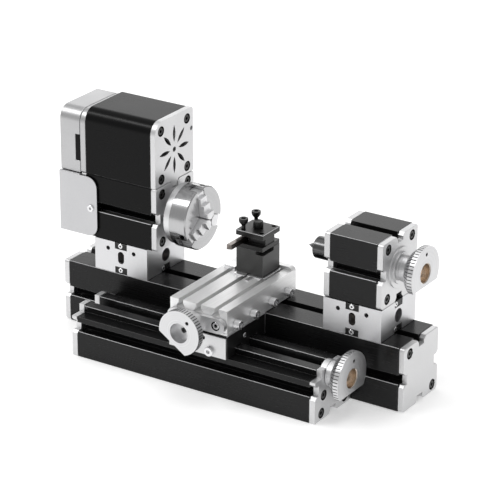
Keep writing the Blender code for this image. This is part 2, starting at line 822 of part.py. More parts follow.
def build_table():
    """The slotted table with its raised rear plate."""
    outline = [
        (TABLE_LEFT, 52.6),
        (139.5, 52.6),
        (137.5, 58.9),
        (153.8, 58.9),
        (153.8, 61.6),
        (163.0, 61.6),
        (163.0, 58.9),
        (178.3, 58.9),
        (178.3, 52.6),
        (TABLE_RIGHT, 52.6),
        (TABLE_RIGHT, TABLE_TOP),
    ]
    for middle in reversed(TABLE_SLOTS):
        outline += table_slot(middle)
    outline.append((TABLE_LEFT, TABLE_TOP))
    mesh = prism("cross_table", "Y", TABLE_FRONT, TABLE_BACK + 1, outline)
    table = add("cross_table", mesh, "silver")
    radius = 4.0
    high = 72.4
    plate = [(TABLE_LEFT, 52.6), (TABLE_RIGHT, 52.6)]
    plate += arc((TABLE_RIGHT - radius, high - radius), radius, 0, 90, 4)
    plate += arc((TABLE_LEFT + radius, high - radius), radius, 90, 180, 4)
    fuse(table, prism("table_rear", "Y", TABLE_BACK, TABLE_BACK + 5, plate))
    for index, station in enumerate(GIB_SCREWS):
        centre = (station, CROSS_Z)
        cut(table, prism("gib_hole_%d" % index, "X", 177, 184, circle(centre, 1.75, 12)))
    return table


def build_gib():
    """The gib strip and the four screws that press it on the dovetail."""
    outline = [(174.45, 52.8), (178.0, 52.8), (178.0, 58.6), (176.3, 58.6)]
    mesh = prism("gib_strip", "Y", TABLE_FRONT + 1, TABLE_BACK - 1, outline)
    add("gib_strip", mesh, "bright_steel")
    start, head = 178.2, TABLE_RIGHT + 0.2
    socket = head + 2.6
    end = head + 5.0
    screw = [(start, 0), (start, 1.5), (head, 1.5), (head, 3.4), (end, 3.4)]
    screw += [(end, 1.6), (socket, 1.6), (socket, 0)]
    for index, station in enumerate(GIB_SCREWS):
        name = "gib_screw_%d" % (index + 1)
        mesh = turned(name, "X", (station, CROSS_Z), screw, False, 16)
        add(name, mesh, "bright_steel")


def build_cross_drive():
    """The cross screw, its nut, the front bracket and the front handwheel."""
    axis = (TABLE_MID, CROSS_Z)
    rod = [(-94.0, 0), (-94.0, CROSS_RADIUS), (8.0, CROSS_RADIUS), (8.0, 0)]
    mesh = turned("cross_screw", "Y", axis, rod, False, 20)
    add("cross_screw", mesh, "bright_steel", (TABLE_MID, TABLE_FRONT, CROSS_Z))
    block = rectangle(154.2, 53.5, 162.6, 61.3)
    hole = circle(axis, CROSS_RADIUS + 0.25, 20)
    add("cross_nut", prism("cross_nut", "Y", -40, -28, block, hole), "brass")
    back = TABLE_FRONT - GAP
    radius = 5.7
    right = arc((TABLE_RIGHT - radius, 58.3), radius, -90, 90, 8)
    left = arc((TABLE_LEFT + radius, 58.3), radius, 90, 270, 8)
    mesh = prism("cross_bracket", "Y", back - 3.7, back, right + left)
    bracket = add("cross_bracket", mesh, "silver")
    fuse(bracket, prism("bracket_boss", "Y", back - 7.4, back - 3, circle(axis, 8.0)))
    bore = circle(axis, CROSS_RADIUS + 0.3, 20)
    cut(bracket, prism("bracket_bore", "Y", back - 8, back + 1, bore))
    build_front_wheel(axis)


def build_front_wheel(axis):
    """The 34 mm cross handwheel with its flat at the lower left."""
    start, face = -84.0, -101.4
    bore = CROSS_RADIUS + 0.25
    profile = [
        (start, bore),
        (start, 9.0),
        (-90.0, 9.0),
        (-90.0, 12.5),
        (-95.4, 17.0),
        (face, 17.0),
        (face, 7.6),
        (face + 7.0, 7.6),
        (face + 7.0, bore),
    ]
    mesh = turned("cross_handwheel", "Y", axis, profile, True, 40)
    origin = (TABLE_MID, start, CROSS_Z)
    wheel = add("cross_handwheel", mesh, "polished", origin)
    low = (TABLE_MID + 10.9, face - 1, CROSS_Z - 25)
    tool = cut(wheel, box("front_flat", low, (TABLE_MID + 30, start + 1, CROSS_Z + 25)))
    place_origin(tool, origin)
    tool.rotation_euler.y = radians(123.6)
    hole = circle((TABLE_MID + 7.0, CROSS_Z + 9.3), 1.4, 12)
    cut(wheel, prism("front_crank", "Y", face - 1, face + 3, hole))


# Tool post ------------------------------------------------------------------------------
def build_tool_post():
    """The riser, the swivelling holder, its screws, its stud and the tool bit."""
    low = (148.8, -11.8, TABLE_TOP + GAP)
    riser = add("tool_riser", box("tool_riser", low, (172.2, 11.4, RISER_TOP)), "black_oxide")
    centre = (POST_X, 0)
    cut(riser, prism("riser_bore", "Z", 76, RISER_TOP + 1, circle(centre, 3.2, 20)))
    cut(riser, box("riser_relief", (165.9, -13, RISER_TOP - 3), (174, 3, RISER_TOP + 1)))
    build_tool_holder(centre)
    collar = [(77, 0), (77, 2.8), (104.3, 2.8), (104.3, 3.8), (108.8, 3.8), (109.3, 3.2)]
    mesh = turned("tool_stud", "Z", centre, collar + [(109.3, 0)], False, 24)
    add("tool_stud", mesh, "black_oxide")
    for index, station in enumerate(CLAMP_SCREWS):
        name = "tool_clamp_screw_%d" % (index + 1)
        screw = [(98.6, 0), (98.6, 1.5), (107.4, 1.5), (108.6, 2.5), (109.8, 3.3)]
        screw += [(111.0, 3.55), (112.7, 3.55), (112.7, 1.8), (110.8, 1.8), (110.8, 0)]
        mesh = turned(name, "Z", (153.2, station), screw, False, 16)
        add(name, mesh, "black_oxide", (153.2, station, 100))
    bit = box("tool_bit", (151.0, -28.0, 94.2), (155.0, 9.0, 98.2))
    add("tool_bit", bit, "dark_steel")


def build_tool_holder(centre):
    """Lower plate, column and top plate in one piece, open on the side of the bit."""
    base = box("tool_holder", (149.0, -12.4, RISER_TOP + GAP), (172.2, 10.8, 94.0))
    holder = add("tool_holder", base, "black_oxide", (centre[0], centre[1], RISER_TOP))
    fuse(holder, box("holder_column", (156.6, -7.4, 93), (171.6, 4.8, 101)))
    fuse(holder, box("holder_top", (148.7, -12.0, 100), (172.5, 10.8, 104)))
    cut(holder, prism("holder_bore", "Z", 90, 105, circle(centre, 3.1, 20)))
    holes = [(153.2, CLAMP_SCREWS[0]), (153.2, CLAMP_SCREWS[1]), (168.8, -8.7), (168.8, 8.5)]
    for index, point in enumerate(holes):
        cut(holder, prism("holder_hole_%d" % index, "Z", 99, 105, circle(point, 1.9, 12)))


# Tailstock ------------------------------------------------------------------------------
def build_tailstock():
    """The tailstock housing, its covers, the quill and its feed."""
    axis = (0, AXIS_Z)
    left, right = TAIL_LEFT + COVER + GAP, TAIL_RIGHT - COVER - GAP
    slotted_bar("tailstock_housing", left, right, AXIS_Z, QUILL_RADIUS + 0.35)
    bore = circle(axis, QUILL_RADIUS + 0.35)
    slotted_cover("tailstock_cover_left", TAIL_LEFT, AXIS_Z, bore)
    cover = slotted_cover("tailstock_cover_right", TAIL_RIGHT - COVER, AXIS_Z)
    face = TAIL_RIGHT
    step = [(face - 1, 0), (face - 1, 15.5), (face + 1.0, 15.5), (face + 1.0, 12.0)]
    step += [(face + 2.3, 12.0), (face + 2.3, 9.2), (face + 3.7, 9.2), (face + 3.7, 0)]
    fuse(cover, turned("tail_boss", "X", axis, step))
    cut(cover, prism("tail_boss_bore", "X", face - 6, face + 5, circle(axis, 4.4)))
    build_quill(axis)
    build_end_wheel("tailstock_handwheel", face + 4.1, axis, 4.3, -10.1, (0.9, 14.2))


def build_quill(axis):
    """The quill with its fixed centre, and the screw that feeds it."""
    quill = [
        (204.2, 0),
        (209.8, 3.2),
        (211.5, 3.2),
        (211.5, 7.4),
        (212.4, QUILL_RADIUS),
        (255.0, QUILL_RADIUS),
        (255.0, 3.7),
        (217.0, 3.7),
        (215.2, 0),
    ]
    mesh = turned("quill", "X", axis, quill)
    add("quill", mesh, "dark_steel", (TAIL_LEFT, 0, AXIS_Z))
    screw = [(234, 0), (234, 3.2), (270.8, 3.2), (270.8, 6.5), (275.0, 6.5), (275.0, 4.0)]
    screw += [(291.0, 4.0), (291.0, 0)]
    mesh = turned("quill_screw", "X", axis, screw, False, 24)
    add("quill_screw", mesh, "bright_steel", (TAIL_RIGHT, 0, AXIS_Z))


# Assembly -------------------------------------------------------------------------------
CHILDREN = {
    "spindle": ("spindle_pulley", "chuck_backplate", "chuck_body"),
    "chuck_body": ("chuck_jaw_1", "chuck_jaw_2", "chuck_jaw_3"),
    "slide_screw": ("slide_handwheel",),
    "saddle": ("saddle_front_plate", "cross_base", "cross_bracket", "cross_screw", "cross_table"),
    "cross_screw": ("cross_handwheel",),
    "cross_table": ("gib_strip", "cross_nut", "tool_riser", "tool_stud", "tool_holder"),
    "tool_holder": ("tool_bit", "tool_clamp_screw_1", "tool_clamp_screw_2"),
    "tailstock_raiser": ("tailstock_coupler_lower", "tailstock_coupler_upper",
                         "tailstock_housing"),
    "tailstock_housing": ("tailstock_cover_left", "tailstock_cover_right", "quill",
                          "quill_screw"),
    "quill_screw": ("tailstock_handwheel",),
}


def parent_pieces():
    """Hang each moving piece on what carries it, keeping its place."""
    places = {item.name: item.location.copy() for item in LATHE.objects}
    for parent_name, child_names in CHILDREN.items():
        for name in child_names:
            child = LATHE.objects[name]
            child.parent = LATHE.objects[parent_name]
            child.location = places[name] - places[parent_name]


def build_lathe():
    """Build every sub-assembly and hang the moving pieces on their carriers."""
    build_bed()
    build_raiser("headstock_raiser", HEAD_RAISER_X)
    build_raiser("tailstock_raiser", TAIL_RAISER_X)
    for end, left in (("headstock", HEAD_RAISER_X), ("tailstock", TAIL_RAISER_X)):
        build_coupler(end + "_coupler_lower", left, False)
        build_coupler(end + "_coupler_upper", left, True)
    build_spindle_housing()
    build_motor_housing()
    build_motor_plates()
    build_motor_cap()
    build_belt_guard()
    build_drive()
    build_spindle()
    build_chuck()
    build_slide()
    build_slide_drive()
    build_saddle()
    build_cross_base()
    build_table()
    build_gib()
    build_cross_drive()
    build_tool_post()
    build_tailstock()
    parent_pieces()


build_lathe()
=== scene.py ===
"""Looks of the small modular metal lathe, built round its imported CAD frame.

Every class below stands for one sub-assembly. It copies the CAD nodes of that
sub-assembly as skins with broken edges and drilled holes, adds the fasteners and
markings, and gives each piece a procedural finish. Lengths are millimetres in the
shared frame unless a name says otherwise.
"""
import json
import logging
from dataclasses import dataclass, field
from enum import Enum
from math import atan2, cos, hypot, pi, radians, sin
from typing import Any, Dict, List, Optional, Sequence, Tuple

import bmesh
import bpy
from mathutils import Matrix, Vector

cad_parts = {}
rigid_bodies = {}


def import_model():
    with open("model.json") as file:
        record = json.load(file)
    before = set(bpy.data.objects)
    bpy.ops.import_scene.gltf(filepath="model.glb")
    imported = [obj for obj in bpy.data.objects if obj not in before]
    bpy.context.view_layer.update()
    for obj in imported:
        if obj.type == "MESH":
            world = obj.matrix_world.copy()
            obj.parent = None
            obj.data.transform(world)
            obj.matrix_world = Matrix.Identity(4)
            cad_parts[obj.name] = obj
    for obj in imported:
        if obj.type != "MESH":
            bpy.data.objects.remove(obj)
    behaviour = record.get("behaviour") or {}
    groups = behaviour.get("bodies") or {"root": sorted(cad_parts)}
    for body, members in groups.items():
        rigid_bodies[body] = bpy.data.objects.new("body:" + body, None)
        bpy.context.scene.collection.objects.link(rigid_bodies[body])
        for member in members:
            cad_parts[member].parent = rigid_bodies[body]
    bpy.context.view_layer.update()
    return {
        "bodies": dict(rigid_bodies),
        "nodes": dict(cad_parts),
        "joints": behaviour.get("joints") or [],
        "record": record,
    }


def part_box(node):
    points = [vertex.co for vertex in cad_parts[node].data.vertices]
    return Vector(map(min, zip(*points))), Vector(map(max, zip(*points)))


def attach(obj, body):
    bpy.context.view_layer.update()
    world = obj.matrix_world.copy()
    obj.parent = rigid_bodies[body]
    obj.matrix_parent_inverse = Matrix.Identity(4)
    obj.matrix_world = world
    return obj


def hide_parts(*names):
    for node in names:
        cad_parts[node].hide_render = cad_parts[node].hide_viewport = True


LOG = logging.getLogger("lathe")
MM = 0.001
FLAT_ANGLE = 28.0  # degrees at which two faces of a flat-walled piece make an edge
ROUND_ANGLE = 34.0  # the same for a piece with round walls
WELD = 2e-7  # metres between points that are one
COPLANAR = 0.6  # degrees between faces that are one
SLOT_DROP = 3.8  # from the middle of a bar down to its slot's lower lip
INSET = 0.1  # from an edge to the middle of the bright line along it

Point = Tuple[float, float, float]
Pair = Tuple[float, float]
Item = bpy.types.Object
Items = List[bpy.types.Object]
Socket = bpy.types.NodeSocket


class Axis(Enum):
    """Direction that a turned piece or a hole runs along."""

    X = "X"
    Y = "Y"
    Z = "Z"


class Grain(Enum):
    """Marks that machining leaves on a surface."""

    CAST = "cast"
    ALONG_X = "along_x"
    ALONG_Y = "along_y"
    TURNED_X = "turned_x"
    TURNED_Y = "turned_y"


AXIS_TURN: Dict[Axis, Matrix] = {
    Axis.X: Matrix.Rotation(pi / 2, 4, "Y"),
    Axis.Y: Matrix.Rotation(-pi / 2, 4, "X"),
    Axis.Z: Matrix.Identity(4),
}
GRAIN_STRETCH: Dict[Grain, Point] = {
    Grain.CAST: (1.0, 1.0, 1.0),
    Grain.ALONG_X: (0.02, 1.0, 1.0),
    Grain.ALONG_Y: (1.0, 0.02, 1.0),
}
TURNED_AXES: Dict[Grain, str] = {Grain.TURNED_X: "YZX", Grain.TURNED_Y: "XZY"}


# Finishes -------------------------------------------------------------------------------
@dataclass(frozen=True)
class Finish:
    """A procedural surface: colour, sheen, machining grain and a painted highlight on edges."""

    name: str
    colour: Point
    metallic: float
    roughness: float
    grain: Grain = Grain.CAST
    grain_size: float = 900.0
    bump: float = 0.05
    mottle: float = 0.06
    # strength of the grey painted onto edges as a highlight
    edge_light: float = 0.0
    slot: str = "silver"
    centre: Pair = (0.0, 0.0)
    specular: float = 0.5

    def build(self) -> bpy.types.Material:
        """Make the node material.

        Returns:
            The finished material.
        """
        material = bpy.data.materials.new(self.name)
        material.use_nodes = True
        FinishNodes(self, material.node_tree).build()
        return material


@dataclass
class FinishNodes:
    """Lays out the nodes of one finish in its material's tree."""

    finish: Finish
    tree: bpy.types.NodeTree
    smear_size: float = 45.0
    # width and grey of the painted edge highlight
    highlight_width: float = 0.35
    highlight_grey: float = 0.62
    relief: float = 0.05

    def build(self) -> None:
        """Drive the shader's colour, roughness and normal from the grain."""
        shader = self.tree.nodes["Principled BSDF"]
        shader.inputs["Metallic"].default_value = self.finish.metallic
        shader.inputs["Specular IOR Level"].default_value = self.finish.specular
        grain = self._grain()
        self.tree.links.new(self._colour(grain), shader.inputs["Base Color"])
        self.tree.links.new(self._roughness(grain), shader.inputs["Roughness"])
        self.tree.links.new(self._bump(grain), shader.inputs["Normal"])

    def node(self, kind: str, inputs: Dict[Any, Any], **settings: Any) -> bpy.types.Node:
        """Add a node, set it up and fill its inputs.

        Args:
            kind: The shader node's type.
            inputs: For each input, a socket to link or a value to set.
            settings: The node's own settings.

        Returns:
            The node.
        """
        made = self.tree.nodes.new("ShaderNode" + kind)
        for name, value in settings.items():
            setattr(made, name, value)
        for key, value in inputs.items():
            if isinstance(value, bpy.types.NodeSocket):
                self.tree.links.new(value, made.inputs[key])
            else:
                made.inputs[key].default_value = value
        return made

    def _math(self, operation: str, *values: Any) -> Socket:
        """Add a math node and return its result."""
        return self.node("Math", dict(enumerate(values)), operation=operation).outputs[0]

    def _place(self) -> Socket:
        """Return the coordinates that move with the piece."""
        return self.node("TexCoord", {}).outputs["Object"]

    def _grain(self) -> Socket:
        """Make the noise that follows the machining direction.

        Returns:
            The grain, 0 to 1.
        """
        finish = self.finish
        if finish.grain in TURNED_AXES:
            place = self._rings()
        else:
            stretch = {"Vector": self._place(), "Scale": GRAIN_STRETCH[finish.grain]}
            place = self.node("Mapping", stretch).outputs["Vector"]
        noise = {"Vector": place, "Scale": finish.grain_size, "Detail": 3.0, "Roughness": 0.55}
        return self.node("TexNoise", noise).outputs["Fac"]

    def _rings(self) -> Socket:
        """Turn the place into (radius, station), so that noise makes rings.

        Returns:
            A vector that only varies with radius and station.
        """
        split = self.node("SeparateXYZ", {"Vector": self._place()}).outputs
        names = TURNED_AXES[self.finish.grain]
        squares = []
        for name, middle in zip(names[:2], self.finish.centre):
            offset = self._math("SUBTRACT", split[name], middle * MM)
            squares.append(self._math("MULTIPLY", offset, offset))
        radius = self._math("SQRT", self._math("ADD", *squares))
        return self.node("CombineXYZ", {"X": radius, "Y": split[names[2]]}).outputs["Vector"]

    def _colour(self, grain: Socket) -> Socket:
        """Vary the base colour by grain, and lighten its edges as a painted highlight.

        Args:
            grain: The grain.

        Returns:
            The colour.
        """
        finish = self.finish
        ramp = self.node("ValToRGB", {"Fac": grain})
        for stop, place, swing in zip(ramp.color_ramp.elements, (0.3, 0.7), (-1, 1)):
            tint = [min(1.0, c * (1 + swing * finish.mottle)) for c in finish.colour]
            stop.position = place
            stop.color = (*tint, 1)
        if finish.edge_light <= 0:
            return ramp.outputs["Color"]
        # grey mixed into the edges: a painted highlight
        edge_shine = {"Factor": self._edge_mask(), "A": ramp.outputs["Color"],
                "B": (*(self.highlight_grey,) * 3, 1)}
        return self.node("Mix", edge_shine, data_type="RGBA").outputs["Result"]

    def _edge_mask(self) -> Socket:
        """Find outer edges by comparing a rounded normal with the true one.

        Returns:
            A value that is 0 on faces and rises on edges.
        """
        rounded = self.node("Bevel", {"Radius": self.highlight_width * MM}, samples=4)
        true = self.node("NewGeometry", {}).outputs["True Normal"]
        dot = self.node("VectorMath", {0: rounded.outputs["Normal"], 1: true},
                        operation="DOT_PRODUCT")
        curve = {"Value": dot.outputs["Value"], "From Min": 0.985, "From Max": 0.80,
                 "To Max": self.finish.edge_light}
        return self.node("MapRange", curve).outputs["Result"]

    def _roughness(self, grain: Socket) -> Socket:
        """Vary the roughness by grain and by a slow smear.

        Args:
            grain: The grain.

        Returns:
            The roughness.
        """
        smear = self.node("TexNoise", {"Vector": self._place(), "Scale": self.smear_size})
        blend = self._math("MULTIPLY_ADD", grain, 0.5, smear.outputs["Fac"])
        spread = {"Value": blend, "From Min": 0.35, "From Max": 1.15,
                  "To Min": self.finish.roughness * 0.82, "To Max": self.finish.roughness * 1.18}
        return self.node("MapRange", spread).outputs["Result"]

    def _bump(self, grain: Socket) -> Socket:
        """Press the grain into the surface."""
        press = {"Strength": self.finish.bump, "Distance": self.relief * MM, "Height": grain}
        return self.node("Bump", press).outputs["Normal"]


BLACK = Finish("black_anodised", (0.0080, 0.0080, 0.0083), 0.0, 0.27, Grain.ALONG_X, 2600.0,
               0.05, 0.10, 0.45, "black", specular=0.22)
BLACK_DEEP = Finish("black_anodised_deep", (0.0035, 0.0035, 0.0037), 0.0, 0.26, Grain.ALONG_X,
                    2600.0, 0.04, 0.10, 0.45, "black", specular=0.12)
BLACK_SADDLE = Finish("black_anodised_cross", (0.0110, 0.0110, 0.0112), 0.0, 0.30,
                      Grain.ALONG_Y, 2600.0, 0.05, 0.10, 0.55, "black", specular=0.3)
SILVER = Finish("silver_satin", (0.66, 0.66, 0.67), 1.0, 0.34, Grain.CAST, 2400.0, 0.08, 0.04)
CAST_SILVER = Finish("silver_cast", (0.67, 0.67, 0.675), 1.0, 0.42, Grain.CAST, 1500.0, 0.14,
                     0.05)
CAP_SILVER = Finish("silver_cap", (0.50, 0.50, 0.505), 1.0, 0.40, Grain.CAST, 1500.0, 0.12,
                    0.05)
TABLE_SILVER = Finish("silver_milled", (0.88, 0.88, 0.88), 0.72, 0.42, Grain.ALONG_Y, 2200.0,
                      0.16, 0.08)
SHEET_SILVER = Finish("silver_sheet", (0.55, 0.55, 0.56), 1.0, 0.40, Grain.CAST, 2600.0, 0.08,
                      0.04)
OXIDE = Finish("black_oxide", (0.011, 0.0108, 0.0105), 0.25, 0.30, Grain.CAST, 1400.0, 0.12,
               0.20, 0.22, "oxide", specular=0.4)
RISER_GREY = Finish("riser_oxide", (0.032, 0.032, 0.031), 0.0, 0.34, Grain.CAST, 1400.0, 0.12,
                    0.16, 0.35, "oxide")
BIT_STEEL = Finish("tool_steel", (0.24, 0.215, 0.20), 1.0, 0.28, Grain.ALONG_Y, 2400.0, 0.14,
                   0.10, 0.3, "dark_steel")
BRIGHT = Finish("bright_steel", (0.80, 0.80, 0.81), 0.85, 0.22, Grain.CAST, 1800.0, 0.06, 0.05,
                0.0, "bright_steel")
# bright lines along dark edges: a painted highlight
EDGE_HIGHLIGHT = Finish("edge_highlight", (0.62, 0.62, 0.63), 1.0, 0.38, Grain.ALONG_X, 1800.0, 0.05, 0.05,
              0.0, "bright_steel")
SCREW_BLACK = Finish("screw_black", (0.008, 0.008, 0.008), 0.2, 0.24, Grain.CAST, 1800.0, 0.06,
                     0.1, 0.15, "oxide", specular=0.4)
SHADOW = Finish("dark_recess", (0.004, 0.004, 0.004), 0.0, 0.6, Grain.CAST, 900.0, 0.05, 0.1,
                0.0, "oxide", specular=0.15)
INK = Finish("scale_ink", (0.075, 0.075, 0.08), 0.0, 0.5, Grain.CAST, 900.0, 0.02, 0.1, 0.0,
             "oxide")
BRONZE = Finish("bronze_bush", (0.92, 0.79, 0.66), 0.95, 0.17, Grain.CAST, 1600.0, 0.08, 0.08,
                0.0, "brass")
BRASS = Finish("brass_plain", (0.72, 0.52, 0.26), 1.0, 0.28, Grain.CAST, 1600.0, 0.08, 0.08,
               0.0, "brass")
RUBBER = Finish("belt_rubber", (0.012, 0.012, 0.012), 0.0, 0.7, Grain.CAST, 900.0, 0.2, 0.1,
                0.0, "rubber")


def turned_finish(name: str, grain: Grain, centre: Pair, colour: float, roughness: float,
                  slot: str = "polished") -> Finish:
    """A lathe-turned finish whose rings run round its own axis.

    Args:
        name: Material name.
        grain: One of the turned grains.
        centre: The axis in the two coordinates across it, in millimetres.
        colour: Grey level of the metal.
        roughness: Middle roughness.
        slot: Material slot in the record.

    Returns:
        The finish.
    """
    grey = (colour, colour, colour * 1.01)
    return Finish(name, grey, 1.0, roughness, grain, 1500.0, 0.10, 0.06, 0.0, slot, centre)


# Mesh tools -----------------------------------------------------------------------------
def link(item: Item) -> Item:
    """Put an object in the scene."""
    bpy.context.scene.collection.objects.link(item)
    return item


def bake(item: Item) -> None:
    """Apply an object's modifiers to its mesh.

    Args:
        item: Object whose modifiers are applied and then removed.
    """
    graph = bpy.context.evaluated_depsgraph_get()
    mesh = bpy.data.meshes.new_from_object(item.evaluated_get(graph))
    item.modifiers.clear()
    item.data = mesh


def cut(item: Item, tools: Sequence[Item]) -> None:
    """Take solids away from a piece; a solid's material stays on the wall that it cuts.

    Args:
        item: The piece.
        tools: Solids to take away; they are used up.
    """
    for tool in tools:
        step = item.modifiers.new("cut", "BOOLEAN")
        step.solver = "EXACT"
        step.material_mode = "TRANSFER"
        step.object = tool
    if tools:
        bake(item)
    for tool in tools:
        bpy.data.objects.remove(tool, do_unlink=True)


def soften(item: Item, width: float = 0.0, segments: int = 1,
           angle: float = FLAT_ANGLE) -> None:
    """Break an object's sharp edges and shade it smoothly between them.

    Args:
        item: Object to change.
        width: Edge break in millimetres; 0 leaves the edges sharp.
        segments: Steps of each edge break.
        angle: Faces that meet at more degrees than this count as an edge.
    """
    if width > 0:
        bevel = item.modifiers.new("break", "BEVEL")
        bevel.width = width * MM
        bevel.segments = segments
        bevel.limit_method = "ANGLE"
        bevel.angle_limit = radians(angle)
        bevel.use_clamp_overlap = True
        bake(item)
    item.data.polygons.foreach_set("use_smooth", [True] * len(item.data.polygons))
    item.data.set_sharp_from_angle(angle=radians(max(angle, ROUND_ANGLE)))
    weigh = item.modifiers.new("broad_faces_flat", "WEIGHTED_NORMAL")
    weigh.keep_sharp = True
    weigh.weight = 80
    bake(item)


def from_bmesh(name: str, body: bmesh.types.BMesh) -> Item:
    """Turn a bmesh into a linked object and free it.

    Args:
        name: Object name.
        body: The bmesh.

    Returns:
        The new object, in the scene.
    """
    mesh = bpy.data.meshes.new(name)
    body.to_mesh(mesh)
    body.free()
    return link(bpy.data.objects.new(name, mesh))


def cylinder(name: str, axis: Axis, centre: Point, radius: float, depth: float,
             steps: int = 20) -> Item:
    """A round solid centred on a point.

    Args:
        name: Object name.
        axis: Direction it runs along.
        centre: Middle point in millimetres.
        radius: Its radius.
        depth: Length along the axis.
        steps: Sides.

    Returns:
        The new object, in the scene.
    """
    body = bmesh.new()
    bmesh.ops.create_cone(body, cap_ends=True, segments=steps, radius1=radius * MM,
                          radius2=radius * MM, depth=depth * MM)
    bmesh.ops.transform(body, matrix=AXIS_TURN[axis], verts=body.verts)
    bmesh.ops.translate(body, verts=body.verts, vec=Vector(centre) * MM)
    return from_bmesh(name, body)


def block(name: str, low: Point, high: Point) -> Item:
    """A rectangular solid between two corner points.

    Args:
        name: Object name.
        low: Lowest corner in millimetres.
        high: Highest corner in millimetres.

    Returns:
        The new object, in the scene.
    """
    body = bmesh.new()
    size = [(b - a) * MM for a, b in zip(low, high)]
    middle = [(a + b) / 2 * MM for a, b in zip(low, high)]
    shape = Matrix.Translation(middle) @ Matrix.Diagonal((*size, 1))
    bmesh.ops.create_cube(body, size=1.0, matrix=shape)
    return from_bmesh(name, body)


def revolve(name: str, axis: Axis, centre: Pair, profile: Sequence[Pair], steps: int = 28,
            closed: bool = False) -> Item:
    """Turn a (station, radius) profile about an axis.

    Args:
        name: Object name.
        axis: Direction of the turning axis.
        centre: The axis in the two coordinates across it.
        profile: Stations along the axis with their radii.
        steps: Sides of the turned piece.
        closed: True for a ring, whose profile closes on itself.

    Returns:
        The new object, in the scene.
    """
    mesh = bpy.data.meshes.new(name)
    points = [(radius * MM, 0, station * MM) for station, radius in profile]
    edges = [(i, i + 1) for i in range(len(points) - 1)]
    if closed:
        edges.append((len(points) - 1, 0))
    mesh.from_pydata(points, edges, [])
    item = link(bpy.data.objects.new(name, mesh))
    screw = item.modifiers.new("turn", "SCREW")
    screw.axis = "Z"
    screw.steps = steps
    screw.render_steps = steps
    screw.use_merge_vertices = True
    screw.merge_threshold = 0.000001
    bake(item)
    body = bmesh.new()
    body.from_mesh(item.data)
    bmesh.ops.transform(body, matrix=axis_frame(axis, centre), verts=body.verts)
    bmesh.ops.recalc_face_normals(body, faces=body.faces)
    body.to_mesh(item.data)
    body.free()
    return item


def axis_frame(axis: Axis, centre: Pair) -> Matrix:
    """The matrix that lays a piece turned about Z along X or Y.

    Args:
        axis: Wanted axis.
        centre: The axis in the two coordinates across it.

    Returns:
        The matrix.
    """
    u, v = centre[0] * MM, centre[1] * MM
    if axis is Axis.X:
        return Matrix(((0, 0, 1, 0), (1, 0, 0, u), (0, 1, 0, v), (0, 0, 0, 1)))
    return Matrix(((1, 0, 0, u), (0, 0, 1, 0), (0, 1, 0, v), (0, 0, 0, 1)))


# Fasteners ------------------------------------------------------------------------------
@dataclass(frozen=True)
class CapScrew:
    """A socket head cap screw, sunk in a counterbore or standing proud."""

    head_radius: float = 3.1
    head_height: float = 3.0
    socket_radius: float = 1.55
    bore_radius: float = 4.0
    sink: float = 3.4
    recess: float = 0.3
    rim: float = 0.35

    def bore(self, axis: Axis, seat: Point, outward: int) -> Item:
        """The counterbore's cutting solid.

        Args:
            axis: Direction of the screw.
            seat: Point of the surface where the screw goes in.
            outward: +1 or -1, the way the surface faces along the axis.

        Returns:
            The solid to take away.
        """
        centre = list(seat)
        centre["XYZ".index(axis.value)] += outward * (1 - self.sink / 2)
        return cylinder("counterbore", axis, tuple(centre), self.bore_radius, self.sink + 2, 28)

    def head(self, name: str, axis: Axis, seat: Point, outward: int,
             raised: float = 0.0) -> Item:
        """The screw's head with its hexagon socket.

        Args:
            name: Object name.
            axis: Direction of the screw.
            seat: Point of the surface where the screw goes in.
            outward: +1 or -1, the way the head faces.
            raised: How far the head's top stands above the surface; 0 for a sunk one.

        Returns:
            The head.
        """
        index = "XYZ".index(axis.value)
        top = seat[index] + outward * (raised or -self.recess)
        base = top - outward * self.head_height
        across = [c for i, c in enumerate(seat) if i != index]
        profile = [(base, 0), (base, self.head_radius),
                   (top - outward * self.rim, self.head_radius),
                   (top, self.head_radius - self.rim), (top, 0)]
        item = revolve(name, axis, tuple(across), profile)
        depth = self.head_height * 0.6
        centre = list(seat)
        centre[index] = top - outward * (depth / 2 - 0.5)
        cut(item, [cylinder("socket", axis, tuple(centre), self.socket_radius, depth + 1, 6)])
        soften(item)
        return item


COVER_SCREW = CapScrew()
BRACKET_SCREW = CapScrew(2.9, 2.4, 1.5, 3.6, 1.6)
PLATE_SCREW = CapScrew(3.6, 3.4, 1.7)
GUARD_SCREW = CapScrew(2.9, 1.9, 1.2)
CONE_SCREW = CapScrew(2.1, 1.5, 0.9)
GRUB = CapScrew(2.0, 1.6, 1.0)
WHEEL_SCREW = CapScrew(2.0, 1.2, 1.1)


